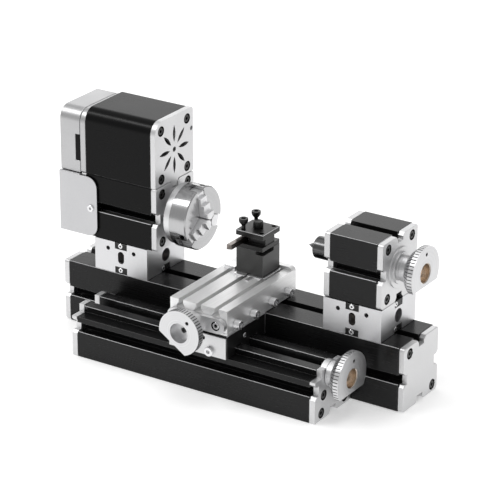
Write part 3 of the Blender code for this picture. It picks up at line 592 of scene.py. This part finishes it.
# Shared makers --------------------------------------------------------------------------
@dataclass
class Shop:
    """Makes skins from CAD nodes and dresses pieces; shared by all sub-assemblies."""

    frame: dict
    materials: Dict[Finish, bpy.types.Material] = field(default_factory=dict)

    def material(self, finish: Finish) -> bpy.types.Material:
        """Return the material of a finish, making it on first use."""
        if finish not in self.materials:
            self.materials[finish] = finish.build()
        return self.materials[finish]

    def limits(self, node: str) -> Tuple[Vector, Vector]:
        """The node's lowest and highest corners in millimetres."""
        low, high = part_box(node)
        return Vector(low) / MM, Vector(high) / MM

    def middle(self, node: str) -> Point:
        """The middle of the node's box in millimetres."""
        return tuple((a + b) / 2 for a, b in zip(*self.limits(node)))

    def body_of(self, node: str) -> str:
        """The CAD body that a node belongs to."""
        bodies = self.frame["record"]["behaviour"]["bodies"]
        return next(name for name, nodes in bodies.items() if node in nodes)

    def dress(self, item: Item, finish: Finish, body: str) -> Item:
        """Give a piece its finish and let it ride on a CAD body.

        Args:
            item: The piece.
            finish: Its surface.
            body: Name of the CAD body it moves with.

        Returns:
            The piece.
        """
        if item.data.materials:
            item.data.materials[0] = self.material(finish)
        else:
            item.data.materials.append(self.material(finish))
        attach(item, body)
        return item

    def skin(self, node: str, finish: Finish, width: float = 0.3, segments: int = 2,
             holes: Sequence[Item] = (), angle: float = FLAT_ANGLE) -> Item:
        """Copy a CAD node, drill it, break its edges and let it stand for the node.

        Args:
            node: CAD node name.
            finish: Surface of the skin.
            width: Edge break in millimetres.
            segments: Steps of the edge break.
            holes: Solids taken away from the copy; they are used up.
            angle: Edge angle in degrees.

        Returns:
            The skin.
        """
        mesh = self.frame["nodes"][node].data.copy()
        item = link(bpy.data.objects.new(node + "_skin", mesh))
        body = bmesh.new()
        body.from_mesh(mesh)
        bmesh.ops.remove_doubles(body, verts=body.verts, dist=WELD)
        bmesh.ops.dissolve_limit(body, angle_limit=radians(COPLANAR), verts=body.verts,
                                 edges=body.edges)
        body.to_mesh(mesh)
        body.free()
        for name in ("custom_normal", "sharp_edge", "sharp_face"):
            if name in mesh.attributes:
                mesh.attributes.remove(mesh.attributes[name])
        mesh.materials.clear()
        mesh.materials.append(self.material(finish))
        cut(item, holes)
        soften(item, width, segments, angle)
        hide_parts(node)
        return self.dress(item, finish, self.body_of(node))

    def paint(self, node: str, finish: Finish) -> None:
        """Give a CAD node that stays visible its finish."""
        item = self.frame["nodes"][node]
        item.data.materials.clear()
        item.data.materials.append(self.material(finish))


@dataclass
class EdgeHighlights:
    """Thin bright lines along the edges of a dark finish: painted edge highlights."""

    shop: Shop
    node: str
    lines: Sequence[Tuple[Point, Point]]
    width: float = 0.2
    label: str = "edge_highlights"

    def build(self) -> Items:
        """Make all lines as one piece that rides with the node.

        Returns:
            A list with the piece.
        """
        body = bmesh.new()
        for start, end in self.lines:
            low, high = Vector(start) * MM, Vector(end) * MM
            along = high - low
            made = bmesh.ops.create_cone(body, cap_ends=True, segments=6,
                                         radius1=self.width * MM, radius2=self.width * MM,
                                         depth=along.length)
            turn = along.to_track_quat("Z", "Y").to_matrix().to_4x4()
            place = Matrix.Translation((low + high) / 2) @ turn
            bmesh.ops.transform(body, matrix=place, verts=made["verts"])
        item = from_bmesh(f"{self.node}_{self.label}", body)
        return [self.shop.dress(item, EDGE_HIGHLIGHT, self.shop.body_of(self.node))]


@dataclass
class ScrewedPlate:
    """A plate held by counterbored screws that all face one way."""

    shop: Shop
    node: str
    axis: Axis
    outward: int
    seats: Sequence[Point]
    screw_name: str
    screw: CapScrew = COVER_SCREW
    screw_finish: Finish = SCREW_BLACK
    edge: float = 0.5
    segments: int = 2
    angle: float = ROUND_ANGLE
    holes: Sequence[Item] = ()

    def build(self) -> Items:
        """Make the plate's skin and its screws.

        Returns:
            All pieces.
        """
        tools = [self.screw.bore(self.axis, seat, self.outward) for seat in self.seats]
        for tool in tools:
            tool.data.materials.append(self.shop.material(SHADOW))
        tools += self.holes
        pieces = [self.shop.skin(self.node, CAST_SILVER, self.edge, self.segments, tools,
                                 self.angle)]
        body = self.shop.body_of(self.node)
        for index, seat in enumerate(self.seats):
            name = f"{self.screw_name}_{index + 1}"
            head = self.screw.head(name, self.axis, seat, self.outward)
            pieces.append(self.shop.dress(head, self.screw_finish, body))
        return pieces


CORNERS: Tuple[Pair, ...] = ((-17.0, -19.0), (17.0, -19.0), (-17.0, 19.0), (17.0, 19.0))


def end_cover(shop: Shop, node: str, outward: int, offsets: Sequence[Pair] = CORNERS,
              thickness: Optional[float] = None) -> Items:
    """An end cover across X with counterbored screws.

    Args:
        shop: Shared maker.
        node: The cover.
        outward: +1 or -1, the way its face looks along X.
        offsets: The screws' places from the cover's middle, as (Y, Z).
        thickness: The plate's own, when a boss stands out of it towards +X.

    Returns:
        The cover and its screws.
    """
    low, high = shop.limits(node)
    face = high.x if outward > 0 else low.x
    if thickness:
        face = low.x + thickness
    _, y, z = shop.middle(node)
    seats = [(face, y + aside, z + up) for aside, up in offsets]
    return ScrewedPlate(shop, node, Axis.X, outward, seats, node + "_screw", segments=3,
                        angle=FLAT_ANGLE).build()


def slot_lips(shop: Shop, node: str, inset: float = 0.3) -> Items:
    """The lower lip inside the front slot of a square housing, drawn as a silver plate: a painted
    highlight.

    Args:
        shop: Shared maker.
        node: The housing.
        inset: Distance from the housing's left end to the lip's start.

    Returns:
        The painted lip and its painted edge highlights.
    """
    low, high = shop.limits(node)
    level = (low.z + high.z) / 2 - SLOT_DROP
    start, end = low.x + inset, high.x - 0.3
    depth = low.y + 5.3
    # a silver plate laid on the dark lip: a painted highlight
    item = block(node + "_lip", (start, low.y + 0.35, level - 0.2), (end, depth, level + 0.12))
    pieces = [shop.dress(item, CAP_SILVER, shop.body_of(node))]
    # painted highlights along the lip's edges
    lines = [((start, row, level), (end, row, level)) for row in (low.y + INSET, depth)]
    return pieces + EdgeHighlights(shop, node, lines, 0.3, "lip_highlights").build()


# Sub-assemblies -------------------------------------------------------------------------
@dataclass
class Bed:
    """The slotted bed with its covers."""

    shop: Shop
    screws: Sequence[Pair] = ((-17.0, 19.0), (17.8, -19.2))

    def build(self) -> Items:
        """Make the bar and both covers.

        Returns:
            The pieces.
        """
        node = "bed_extrusion"
        pieces = [self.shop.skin(node, BLACK, 0.35)]
        low, high = self.shop.limits(node)
        row = low.y + INSET
        levels = ((low.z + high.z) / 2 - SLOT_DROP, high.z - INSET)
        lines = [((low.x, row, level), (high.x, row, level)) for level in levels]
        # painted highlights along the bar's front edges
        pieces += EdgeHighlights(self.shop, node, lines).build()
        pieces += end_cover(self.shop, "bed_cover_left", -1, self.screws)
        pieces += end_cover(self.shop, "bed_cover_right", 1, self.screws)
        return pieces


@dataclass
class Raiser:
    """A raiser with its set screws, its bush and the screws in its couplers."""

    shop: Shop
    end: str
    set_screw_offset: float = 11.8
    set_screw_height: float = 18.8
    set_screw_depth: float = 2.2
    set_hole: Pair = (1.7, 9.0)
    bush_height: float = 63.0
    bush_radii: Pair = (4.6, 5.1)
    bush_half: float = 6.0
    cone_row: float = 34.0
    cone_levels: Pair = (2.5, 2.6)

    def build(self) -> Items:
        """Make the raiser, its couplers and their screws.

        Returns:
            All pieces.
        """
        node = f"{self.end}_raiser"
        low, high = self.shop.limits(node)
        middle = self.shop.middle(node)[0]
        body = self.shop.body_of(node)
        height = low.z + self.set_screw_height
        spots = [(middle + side * self.set_screw_offset, face, way)
                 for side in (-1, 1) for face, way in ((low.y, -1), (high.y, 1))]
        holes = [cylinder("set_hole", Axis.Y, (x, face, height), *self.set_hole)
                 for x, face, _ in spots]
        pieces = [self.shop.skin(node, SILVER, 0.35, 2, holes)]
        for x, face, way in spots:
            seat = (x, face - way * self.set_screw_depth, height)
            head = GRUB.head(f"{self.end}_set_screw", Axis.Y, seat, way)
            pieces.append(self.shop.dress(head, SCREW_BLACK, body))
        pieces.append(self._bush(node))
        return pieces + self._couplers(low, high, middle)

    def _bush(self, node: str) -> Item:
        """Make the bronze bush in the raiser's bore.

        Args:
            node: The raiser.

        Returns:
            The bush.
        """
        x, y, _ = self.shop.middle(node)
        inner, outer = self.bush_radii
        start, end = x - self.bush_half, x + self.bush_half
        ring = [(start, inner), (end, inner), (end, outer), (start, outer)]
        bush = revolve(node + "_bush", Axis.X, (y, self.bush_height), ring, 32, True)
        soften(bush)
        return self.shop.dress(bush, BRONZE, self.shop.body_of(node))

    def _couplers(self, low: Vector, high: Vector, middle: float) -> Items:
        """Make the couplers and the screws seen in the raiser's windows.

        Args:
            low: Raiser's lowest corner.
            high: Raiser's highest corner.
            middle: Raiser's middle along X.

        Returns:
            The pieces.
        """
        pieces = []
        x = middle - 0.6
        under, over = self.cone_levels
        for level, height in (("lower", low.z + under), ("upper", high.z - over)):
            node = f"{self.end}_coupler_{level}"
            pieces.append(self.shop.skin(node, OXIDE, 0.2, 1))
            body = self.shop.body_of(node)
            for axis, seat, way in ((Axis.Y, (x, low.y + 0.3, height), -1),
                                    (Axis.Y, (x, high.y - 0.3, height), 1),
                                    (Axis.X, (high.x - 0.3, self.cone_row, height), 1),
                                    (Axis.X, (low.x + 0.3, self.cone_row, height), -1)):
                head = CONE_SCREW.head(f"{self.end}_{level}_cone", axis, seat, way, 0.25)
                pieces.append(self.shop.dress(head, BRIGHT, body))
        return pieces


@dataclass
class Headstock:
    """The spindle housing, the motor housing above it and the belt end."""

    shop: Shop
    lip_inset: float = 11.5
    plate_tongue: float = 5.0
    plate_screw_rows: Pair = (5.4, 43.3)
    plate_screw_aside: float = 17.0
    edge_hole: Pair = (22.6, 34.2)
    middle_height: float = 24.2
    vent_half: float = 21.0
    vent_levels: Pair = (3.0, 45.5)
    window_depth: float = 1.6
    window_levels: Pair = (133.4, 155.8)
    guard_screw_height: float = 98.8
    guard_lip_length: float = 19.0

    def build(self) -> Items:
        """Make all headstock pieces.

        Returns:
            The pieces.
        """
        shop = self.shop
        pieces = [shop.skin("spindle_housing", BLACK_DEEP, 0.35),
                  shop.skin("motor_housing", BLACK_DEEP, 0.4, angle=ROUND_ANGLE)]
        pieces += end_cover(shop, "spindle_cover_right", 1)
        pieces += end_cover(shop, "spindle_cover_left", -1)
        pieces += self._motor_plate()
        for node in ("motor_rear_plate", "motor_cap"):
            pieces.append(shop.skin(node, CAP_SILVER, 0.6, 3, angle=ROUND_ANGLE))
        pieces.append(shop.skin("belt_guard", SHEET_SILVER, 0.25, angle=ROUND_ANGLE))
        pieces.append(self._window())
        pieces.append(self._guard_screw())
        pieces += self._guard_lips()
        pieces += slot_lips(shop, "spindle_housing", self.lip_inset)
        shop.paint("motor", BIT_STEEL)
        shop.paint("drive_belt", RUBBER)
        for node in ("motor_pulley", "spindle_pulley", "spindle_bearing_front",
                     "spindle_bearing_rear", "spindle"):
            shop.paint(node, BRIGHT)
        return pieces

    def _motor_plate(self) -> Items:
        """The vented end plate with its four screws and centre screw.

        Returns:
            The pieces, with a near-black sheet behind the vents as painted shade.
        """
        node = "motor_end_plate"
        low, high = self.shop.limits(node)
        base = low.z + self.plate_tongue
        y = self.shop.middle(node)[1]
        seats = [(high.x, y + aside, base + row) for row in self.plate_screw_rows
                 for aside in (-self.plate_screw_aside, self.plate_screw_aside)]
        aside, up = self.edge_hole
        middle = (high.x, y, base + self.middle_height)
        holes = [cylinder("edge_hole", Axis.X, (high.x, y + aside, base + up), 1.7, 5),
                 cylinder("middle_hole", Axis.X, middle, 2.0, 3)]
        pieces = ScrewedPlate(self.shop, node, Axis.X, 1, seats, "motor_plate_screw",
                              edge=0.45, holes=holes).build()
        head = GRUB.head("motor_plate_middle_screw", Axis.X, middle, 1)
        pieces.append(self.shop.dress(head, SCREW_BLACK, "bed"))
        bottom, top = self.vent_levels
        # A near-black sheet behind the vents: painted shade.
        back = block("vent_shade_sheet", (low.x - 1.4, y - self.vent_half, base + bottom),
                     (low.x - 0.5, y + self.vent_half, base + top))
        pieces.append(self.shop.dress(back, SHADOW, "bed"))
        return pieces

    def _window(self) -> Item:
        """The black switch plate behind the cap's window.

        Returns:
            The plate.
        """
        low, high = self.shop.limits("motor_cap")
        centre = high.x - 2.0
        bottom, top = self.window_levels
        item = block("switch_window", (centre - 2.6, low.y + 0.5, bottom),
                     (centre + 1.9, low.y + self.window_depth, top))
        soften(item, 0.2)
        return self.shop.dress(item, SHADOW, "bed")

    def _guard_screw(self) -> Item:
        """The screw that holds the guard's front wing in the housing's slot.

        Returns:
            The screw's head.
        """
        low, high = self.shop.limits("belt_guard")
        seat = (high.x - 5.7, low.y, self.guard_screw_height)
        head = GUARD_SCREW.head("guard_screw", Axis.Y, seat, -1, 1.0)
        return self.shop.dress(head, BRIGHT, "bed")

    def _guard_lips(self) -> Items:
        """The guard's folded top edges beside the cap.

        Returns:
            The front and the back lip.
        """
        low, high = self.shop.limits("belt_guard")
        pieces = []
        for face, way in ((low.y, -1), (high.y, 1)):
            near, far = sorted((face - way * 0.1, face - way * 1.75))
            item = block("guard_lip", (low.x + 0.4, near, high.z - 1.0),
                         (low.x + self.guard_lip_length, far, high.z + 0.7))
            soften(item, 0.2, 2)
            pieces.append(self.shop.dress(item, SHEET_SILVER, "bed"))
        return pieces


@dataclass
class Chuck:
    """The three-jaw chuck on the spindle's nose."""

    shop: Shop
    key_radius: float = 2.2
    key_depth: float = 8.0
    key_station: float = 11.3
    key_angles: Sequence[float] = (-160.0, -40.0, 80.0)

    def build(self) -> Items:
        """Make the plate, the body with its key holes and the jaws.

        Returns:
            The pieces.
        """
        low, high = self.shop.limits("chuck_backplate")
        centre = self.shop.middle("chuck_backplate")[1:]
        rim = (high.y - low.y) / 2
        plate = turned_finish("chuck_plate_turned", Grain.TURNED_X, centre, 0.78, 0.42)
        body = turned_finish("chuck_turned", Grain.TURNED_X, centre, 0.47, 0.21)
        jaw = turned_finish("jaw_ground", Grain.TURNED_X, centre, 0.80, 0.42)
        holes = [self._key(high.x + self.key_station, centre, radians(angle), rim)
                 for angle in self.key_angles]
        pieces = [self.shop.skin("chuck_backplate", plate, 0.2, angle=ROUND_ANGLE),
                  self.shop.skin("chuck_body", body, 0.25, 2, holes, ROUND_ANGLE)]
        for index in range(3):
            pieces.append(self.shop.skin(f"chuck_jaw_{index + 1}", jaw, 0.25))
        return pieces

    def _key(self, station: float, centre: Pair, angle: float, rim: float) -> Item:
        """A radial key hole's cutting solid.

        Args:
            station: Place along the spindle.
            centre: The spindle's axis across X.
            angle: Place round the spindle, in radians.
            rim: Radius where the hole starts.

        Returns:
            The solid to take away.
        """
        tool = cylinder("key_hole", Axis.Z, (0, 0, 0), self.key_radius, self.key_depth)
        tool.data.materials.append(self.shop.material(SHADOW))
        middle = Vector((station, centre[0] + cos(angle) * rim, centre[1] + sin(angle) * rim))
        turn = Matrix.Rotation(angle - pi / 2, 4, "X")
        tool.data.transform(Matrix.Translation(middle * MM) @ turn)
        return tool


@dataclass
class Handwheel:
    """A turned handwheel with a flat, graduations and, on two wheels, a bush."""

    shop: Shop
    node: str
    axis: Axis
    centre: Pair
    crank: Pair
    bands: Sequence[Tuple[Pair, Pair]]
    flat: Pair
    bush: Optional[Point] = None
    marks: int = 50
    mark_half: float = 0.34
    mark_depth: float = 0.4
    crank_radius: float = 1.3

    def build(self) -> Items:
        """Make the wheel, its graduations and its bush or screw.

        Returns:
            The pieces.
        """
        grain = Grain.TURNED_X if self.axis is Axis.X else Grain.TURNED_Y
        finish = turned_finish(self.node + "_turned", grain, self.centre, 0.68, 0.40)
        body = self.shop.body_of(self.node)
        pieces = [self.shop.skin(self.node, finish, 0.3, 2, self._graduations(), 26.0),
                  self.shop.dress(self._crank_hole_shade(), SHADOW, body)]
        if self.bush:
            start, end, radius = self.bush
            ring = [(start, radius - 0.7), (start, radius - 0.05), (end, radius - 0.05),
                    (end, radius - 0.45)]
            item = revolve(self.node + "_bush", self.axis, self.centre, ring, 40, True)
            soften(item)
            pieces.append(self.shop.dress(item, BRONZE, body))
        else:
            low, _ = self.shop.limits(self.node)
            seat = (self.centre[0], low.y + 6.7, self.centre[1])
            head = WHEEL_SCREW.head(self.node + "_screw", Axis.Y, seat, -1, 0.4)
            pieces.append(self.shop.dress(head, SCREW_BLACK, body))
        return pieces

    def _crank_hole_shade(self) -> Item:
        """A near-black disc in the hole that takes the crank: painted shade.

        Returns:
            A short round piece.
        """
        low, high = self.shop.limits(self.node)
        across = (self.centre[0] + self.crank[0], self.centre[1] + self.crank[1])
        if self.axis is Axis.X:
            centre = (high.x - 1.9, *across)
        else:
            centre = (across[0], low.y + 1.9, across[1])
        name = self.node + "_crank_hole_shade"
        # near-black disc in the crank hole: painted shade
        return cylinder(name, self.axis, centre, self.crank_radius, 2.0, 16)

    def _graduations(self) -> Items:
        """The engraved graduations, as one cutting solid for each band.

        Returns:
            The cutting solids.
        """
        tools = []
        flat_angle, flat_distance = self.flat
        for number, (low, high) in enumerate(self.bands):
            body = bmesh.new()
            for index in range(self.marks):
                angle = (index + 0.5) * 2 * pi / self.marks
                toward = cos(angle - radians(flat_angle))
                if toward <= 0 or flat_distance / toward >= high[1] + 0.5:
                    self._groove(body, angle, low, high)
            tool = from_bmesh(f"{self.node}_marks_{number}", body)
            tool.data.materials.append(self.shop.material(INK))
            tools.append(tool)
        return tools

    def _groove(self, body: bmesh.types.BMesh, angle: float, low: Pair, high: Pair) -> None:
        """Add one groove's cutting solid along a band.

        Args:
            body: Mesh that collects the solids.
            angle: Place round the axis, in radians.
            low: (station, radius) of the band's first end.
            high: (station, radius) of its other end.
        """
        length = hypot(high[0] - low[0], high[1] - low[1])
        tilt = atan2(high[1] - low[1], high[0] - low[0])
        made = bmesh.ops.create_cube(body, size=1.0)
        shape = Matrix.Diagonal((length * 0.9 * MM, self.mark_half * 2 * MM,
                                 self.mark_depth * 2 * MM, 1))
        middle = Vector(((low[0] + high[0]) / 2 * MM, 0, (low[1] + high[1]) / 2 * MM))
        lay = Matrix.Translation(middle) @ Matrix.Rotation(-tilt, 4, "Y") @ shape
        u, v = self.centre[0] * MM, self.centre[1] * MM
        if self.axis is Axis.X:
            frame = Matrix(((1, 0, 0, 0), (0, 0, 1, u), (0, -1, 0, v), (0, 0, 0, 1)))
            turn = Matrix.Rotation(angle, 4, "X")
        else:
            frame = Matrix(((0, 0, 1, u), (1, 0, 0, 0), (0, 1, 0, v), (0, 0, 0, 1)))
            turn = Matrix.Rotation(-angle, 4, "X")
        bmesh.ops.transform(body, matrix=frame @ turn @ lay, verts=made["verts"])


@dataclass
class LongSlide:
    """The longitudinal slide with its covers."""

    shop: Shop
    bare_lines: Sequence[Pair] = ((0.1, 20.45), (9.0, 37.95), (29.1, 37.95))
    cover_screws: Sequence[Pair] = ((9.0, 5.5), (12.0, 18.6), (41.5, 5.5))

    def build(self) -> Items:
        """Make the slide's pieces.

        Returns:
            The pieces.
        """
        shop = self.shop
        node = "slide_extrusion"
        pieces = [shop.skin(node, BLACK)]
        low, high = shop.limits(node)
        lines = [((low.x, low.y + y, z), (high.x, low.y + y, z)) for y, z in self.bare_lines]
        # painted highlights along the slide's edges
        pieces += EdgeHighlights(shop, node, lines).build()
        right = shop.limits("slide_cover_right")[1].x
        left = shop.limits("slide_cover_left")[0].x
        for cover, face, way, screw_name in (
                ("slide_cover_right", right, 1, "slide_cover_screw"),
                ("slide_cover_left", left, -1, "slide_left_screw")):
            seats = [(face, low.y + y, z) for y, z in self.cover_screws]
            pieces += ScrewedPlate(shop, cover, Axis.X, way, seats, screw_name).build()
        shop.paint("slide_coupler", OXIDE)
        shop.paint("slide_screw", BRIGHT)
        return pieces


@dataclass
class CrossSlide:
    """The saddle, the cross slide's base and table, and the front bracket."""

    shop: Shop
    saddle_foot: float = 34.0
    plate_screw: Pair = (13.8, 3.8)
    plate_hole: Pair = (19.5, 3.2)
    bracket_screw: Pair = (7.5, 58.3)
    bracket_boss: float = 3.7
    set_screw: Pair = (23.4, 7.3)

    def build(self) -> Items:
        """Make the saddle's and the table's pieces.

        Returns:
            The pieces.
        """
        shop = self.shop
        pieces = [shop.skin("saddle", BLACK_SADDLE)]
        low, high = shop.limits("saddle")
        side, back, top = high.x - INSET, high.y - INSET, high.z - INSET
        lines = [((side, low.y, top), (side, high.y, top)),
                 ((side, back, self.saddle_foot), (side, back, high.z))]
        # painted highlights along the saddle's edges
        pieces += EdgeHighlights(shop, "saddle", lines, 0.28).build()
        pieces += self._front_plate()
        pieces.append(shop.skin("cross_base", TABLE_SILVER, 0.15, 1))
        pieces.append(shop.skin("cross_table", TABLE_SILVER, angle=ROUND_ANGLE))
        pieces += self._bracket()
        for index in range(4):
            node = f"gib_screw_{index + 1}"
            pieces.append(shop.skin(node, BRIGHT, 0.25, angle=ROUND_ANGLE))
        shop.paint("gib_strip", BRIGHT)
        shop.paint("cross_nut", BRASS)
        shop.paint("cross_screw", BRIGHT)
        seat = (high.x, low.y + self.set_screw[0], high.z - self.set_screw[1])
        head = GRUB.head("saddle_set_screw", Axis.X, seat, 1, 0.25)
        return pieces + [shop.dress(head, BRIGHT, "saddle")]

    def _front_plate(self) -> Items:
        """The plate in front of the saddle, with its screw and its hole.

        Returns:
            The plate and the screw's head.
        """
        node = "saddle_front_plate"
        low, high = self.shop.limits(node)
        centre = (high.x - self.plate_hole[0], low.y, high.z - self.plate_hole[1])
        hole = cylinder("plate_hole", Axis.Y, centre, 1.6, 3)
        hole.data.materials.append(self.shop.material(SHADOW))
        skin = self.shop.skin(node, CAST_SILVER, holes=[hole])
        seat = (high.x - self.plate_screw[0], low.y, low.z + self.plate_screw[1])
        head = PLATE_SCREW.head("front_plate_screw", Axis.Y, seat, -1, 2.4)
        return [skin, self.shop.dress(head, BRIGHT, "saddle")]

    def _bracket(self) -> Items:
        """The screw's front bracket with its two counterbored screws.

        Returns:
            The bracket and the screws' heads.
        """
        node = "cross_bracket"
        low, high = self.shop.limits(node)
        face = high.y - self.bracket_boss
        aside, up = self.bracket_screw
        seats = [(low.x + aside, face, up), (high.x - aside, face, up)]
        return ScrewedPlate(self.shop, node, Axis.Y, -1, seats, "bracket_screw",
                            BRACKET_SCREW, BRIGHT, 0.4).build()


@dataclass
class ToolPost:
    """The riser, the holder, its screws and bit, and the clamps at its foot."""

    shop: Shop
    clamps: Sequence[Tuple[Pair, Pair, float]] = (
        ((-10.8, 0.3), (-1.4, 9.0), 3.2), ((0.4, -5.2), (10.4, -0.4), 1.3),
        ((11.4, -3.0), (23.6, -0.4), 0.8), ((24.0, -1.0), (25.6, 22.0), 0.9),
        ((14.0, -10.5), (17.6, -3.0), 0.7))
    grind_side: float = 12.0
    grind_lean: float = 8.0

    def build(self) -> Items:
        """Make the tool post's pieces.

        Returns:
            The pieces.
        """
        shop = self.shop
        pieces = [shop.skin("tool_riser", RISER_GREY, 0.4),
                  shop.skin("tool_holder", OXIDE, 0.35, angle=ROUND_ANGLE),
                  shop.skin("tool_bit", BIT_STEEL, holes=[self._bit_grind()]),
                  shop.skin("tool_stud", OXIDE, 0.2, 1, angle=ROUND_ANGLE)]
        for index in (1, 2):
            pieces.append(shop.skin(f"tool_clamp_screw_{index}", SCREW_BLACK, 0.25,
                                    angle=ROUND_ANGLE))
        low, high = shop.limits("tool_holder")
        side, front, top = high.x - INSET, low.y + INSET, high.z - INSET
        lines = [((low.x, front, top), (high.x, front, top)),
                 ((side, low.y, top), (side, high.y, top))]
        # painted highlights along the holder's top edges
        pieces += EdgeHighlights(shop, "tool_holder", lines).build()
        return pieces + self._table_clamps()

    def _bit_grind(self) -> Item:
        """The cutting solid of the slanted face ground on the tool bit's tip.

        Returns:
            The solid to take away.
        """
        low, high = self.shop.limits("tool_bit")
        tool = block("grind", (low.x - 3, low.y - 6, low.z - 3), (high.x + 3, low.y, high.z + 3))
        corner = Matrix.Translation(low * MM)
        turn = Matrix.Rotation(radians(self.grind_side), 4, "Z")
        turn = turn @ Matrix.Rotation(radians(self.grind_lean), 4, "X")
        tool.data.transform(corner @ turn @ corner.inverted())
        return tool

    def _table_clamps(self) -> Items:
        """The silver clamps and T-nut ends that hold the riser to the table.

        Returns:
            The clamps.
        """
        low, _ = self.shop.limits("tool_riser")
        top = low.z - 0.3
        pieces = []
        for index, (near, far, rise) in enumerate(self.clamps):
            item = block(f"table_clamp_{index + 1}", (low.x + near[0], low.y + near[1], top + 0.03),
                         (low.x + far[0], low.y + far[1], top + rise))
            soften(item, 0.3, 2)
            pieces.append(self.shop.dress(item, BRIGHT, "table"))
        return pieces


@dataclass
class Tailstock:
    """The tailstock's housing, covers, quill and feed."""

    shop: Shop
    slot_half: float = 4.5
    cover_thickness: float = 4.5

    def build(self) -> Items:
        """Make the tailstock's pieces.

        Returns:
            The pieces.
        """
        shop = self.shop
        node = "tailstock_housing"
        pieces = [shop.skin(node, BLACK, 0.35)]
        pieces += slot_lips(shop, node)
        low, high = shop.limits(node)
        side, front, top = high.x - INSET, low.y + INSET, high.z - INSET
        slot = shop.middle(node)[1] - self.slot_half
        lines = [((low.x, front, top), (high.x, front, top)),
                 ((side, low.y, top), (side, slot, top))]
        # painted highlights along the housing's top edges
        pieces += EdgeHighlights(shop, node, lines, 0.16).build()
        pieces += end_cover(shop, "tailstock_cover_left", -1)
        pieces += end_cover(shop, "tailstock_cover_right", 1, CORNERS, self.cover_thickness)
        centre = shop.middle("quill")[1:]
        finish = turned_finish("quill_turned", Grain.TURNED_X, centre, 0.12, 0.24, "dark_steel")
        pieces.append(shop.skin("quill", finish, 0.15, 1, angle=ROUND_ANGLE))
        shop.paint("quill_screw", BRIGHT)
        return pieces


def handwheels(shop: Shop) -> List[Handwheel]:
    """The three handwheels, sized from their CAD nodes.

    Args:
        shop: Shared maker.

    Returns:
        The handwheels.
    """
    wheels = []
    for node, screw, flat, crank in (
            ("slide_handwheel", "slide_screw", 11.2, (2.3, 12.8)),
            ("tailstock_handwheel", "quill_screw", 10.1, (0.9, 14.2))):
        low, high = shop.limits(node)
        bands = (((low.x + 8.4, 16.0), (low.x + 12.4, 19.8)),
                 ((low.x + 12.2, 20.0), (high.x - 0.2, 20.0)))
        bush = (high.x - 9.4, high.x - 0.6, 7.6)
        wheels.append(Handwheel(shop, node, Axis.X, shop.middle(screw)[1:], crank, bands,
                                (-90.0, flat), bush))
    node = "cross_handwheel"
    low, _ = shop.limits(node)
    x, _, z = shop.middle("cross_screw")
    bands = (((low.y + 0.2, 17.0), (low.y + 6.2, 17.0)),)
    wheels.append(Handwheel(shop, node, Axis.Y, (x, z), (7.0, 9.3), bands, (-123.6, 10.9)))
    return wheels


@dataclass
class Studio:
    """Pale floor, soft lights and the camera."""

    camera_place: Point = (913.73, -1382.97, 796.35)
    camera_turn: Point = (67.113, -0.244, 32.763)
    lens: float = 178.09
    sensor: float = 36.0
    floor_half_m: float = 6.0
    floor_drop: float = 0.2

    def build(self) -> None:
        """Make the whole studio."""
        self._world()
        self._floor()
        self._light("overhead", (0, 100, 1500), (0, 0, 0), (1.2, 1.0), 7)
        self._light("strip_left", (-950, -740, 1450), (0, 0, 100), (1.1, 0.22), 8)
        self._light("wall_back", (-800, 1250, 620), (0, 0, 80), (1.5, 0.8), 4)
        self._camera()
        view = bpy.context.scene.view_settings
        view.view_transform = "Standard"
        view.look = "None"

    def _world(self) -> None:
        """Make the pale surround."""
        world = bpy.data.worlds.new("studio_world")
        bpy.context.scene.world = world
        world.use_nodes = True
        shade = world.node_tree.nodes["Background"]
        shade.inputs["Color"].default_value = (1.0, 1.0, 1.0, 1)
        shade.inputs["Strength"].default_value = 0.5

    def _floor(self) -> None:
        """Make the wide pale floor just under the lathe."""
        body = bmesh.new()
        bmesh.ops.create_grid(body, x_segments=1, y_segments=1, size=self.floor_half_m)
        floor = from_bmesh("studio_floor", body)
        floor.location.z = -self.floor_drop * MM
        material = bpy.data.materials.new("studio_floor")
        material.use_nodes = True
        shader = material.node_tree.nodes["Principled BSDF"]
        shader.inputs["Base Color"].default_value = (0.90, 0.90, 0.90, 1)
        shader.inputs["Roughness"].default_value = 0.9
        shader.inputs["Emission Color"].default_value = (1, 1, 1, 1)
        shader.inputs["Emission Strength"].default_value = 0.35
        floor.data.materials.append(material)

    def _light(self, name: str, place: Point, aim: Point, size: Pair, power: float) -> None:
        """Add one rectangular light.

        Args:
            name: Object name.
            place: Where it hangs.
            aim: Point that it faces.
            size: Width and height in metres.
            power: Power in watts.
        """
        data = bpy.data.lights.new(name, "AREA")
        data.shape = "RECTANGLE"
        data.size, data.size_y = size
        data.energy = power
        lamp = link(bpy.data.objects.new(name, data))
        lamp.location = Vector(place) * MM
        toward = (Vector(aim) - Vector(place)).to_track_quat("-Z", "Y")
        lamp.rotation_euler = toward.to_euler()

    def _camera(self) -> None:
        """Set up the camera, to the right of the lathe and above it."""
        data = bpy.data.cameras.new("camera")
        data.lens = self.lens
        data.sensor_width = self.sensor
        data.clip_start = 0.05
        camera = link(bpy.data.objects.new("camera", data))
        camera.location = Vector(self.camera_place) * MM
        camera.rotation_euler = [radians(angle) for angle in self.camera_turn]
        bpy.context.scene.camera = camera


def main() -> None:
    """Build every sub-assembly in order, report each, then set up the studio."""
    logging.basicConfig(level=logging.INFO, format="%(name)s: %(message)s")
    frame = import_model()
    shop = Shop(frame)
    makers = [Bed(shop), Raiser(shop, "headstock"), Raiser(shop, "tailstock"),
              Headstock(shop), Chuck(shop), LongSlide(shop), CrossSlide(shop),
              ToolPost(shop), Tailstock(shop), *handwheels(shop)]
    for maker in makers:
        pieces = maker.build()
        LOG.info("%s: %d pieces", type(maker).__name__, len(pieces))
        for piece in pieces:
            LOG.info("  %s", piece.name)
    Studio().build()


if __name__ == "__main__":
    main()
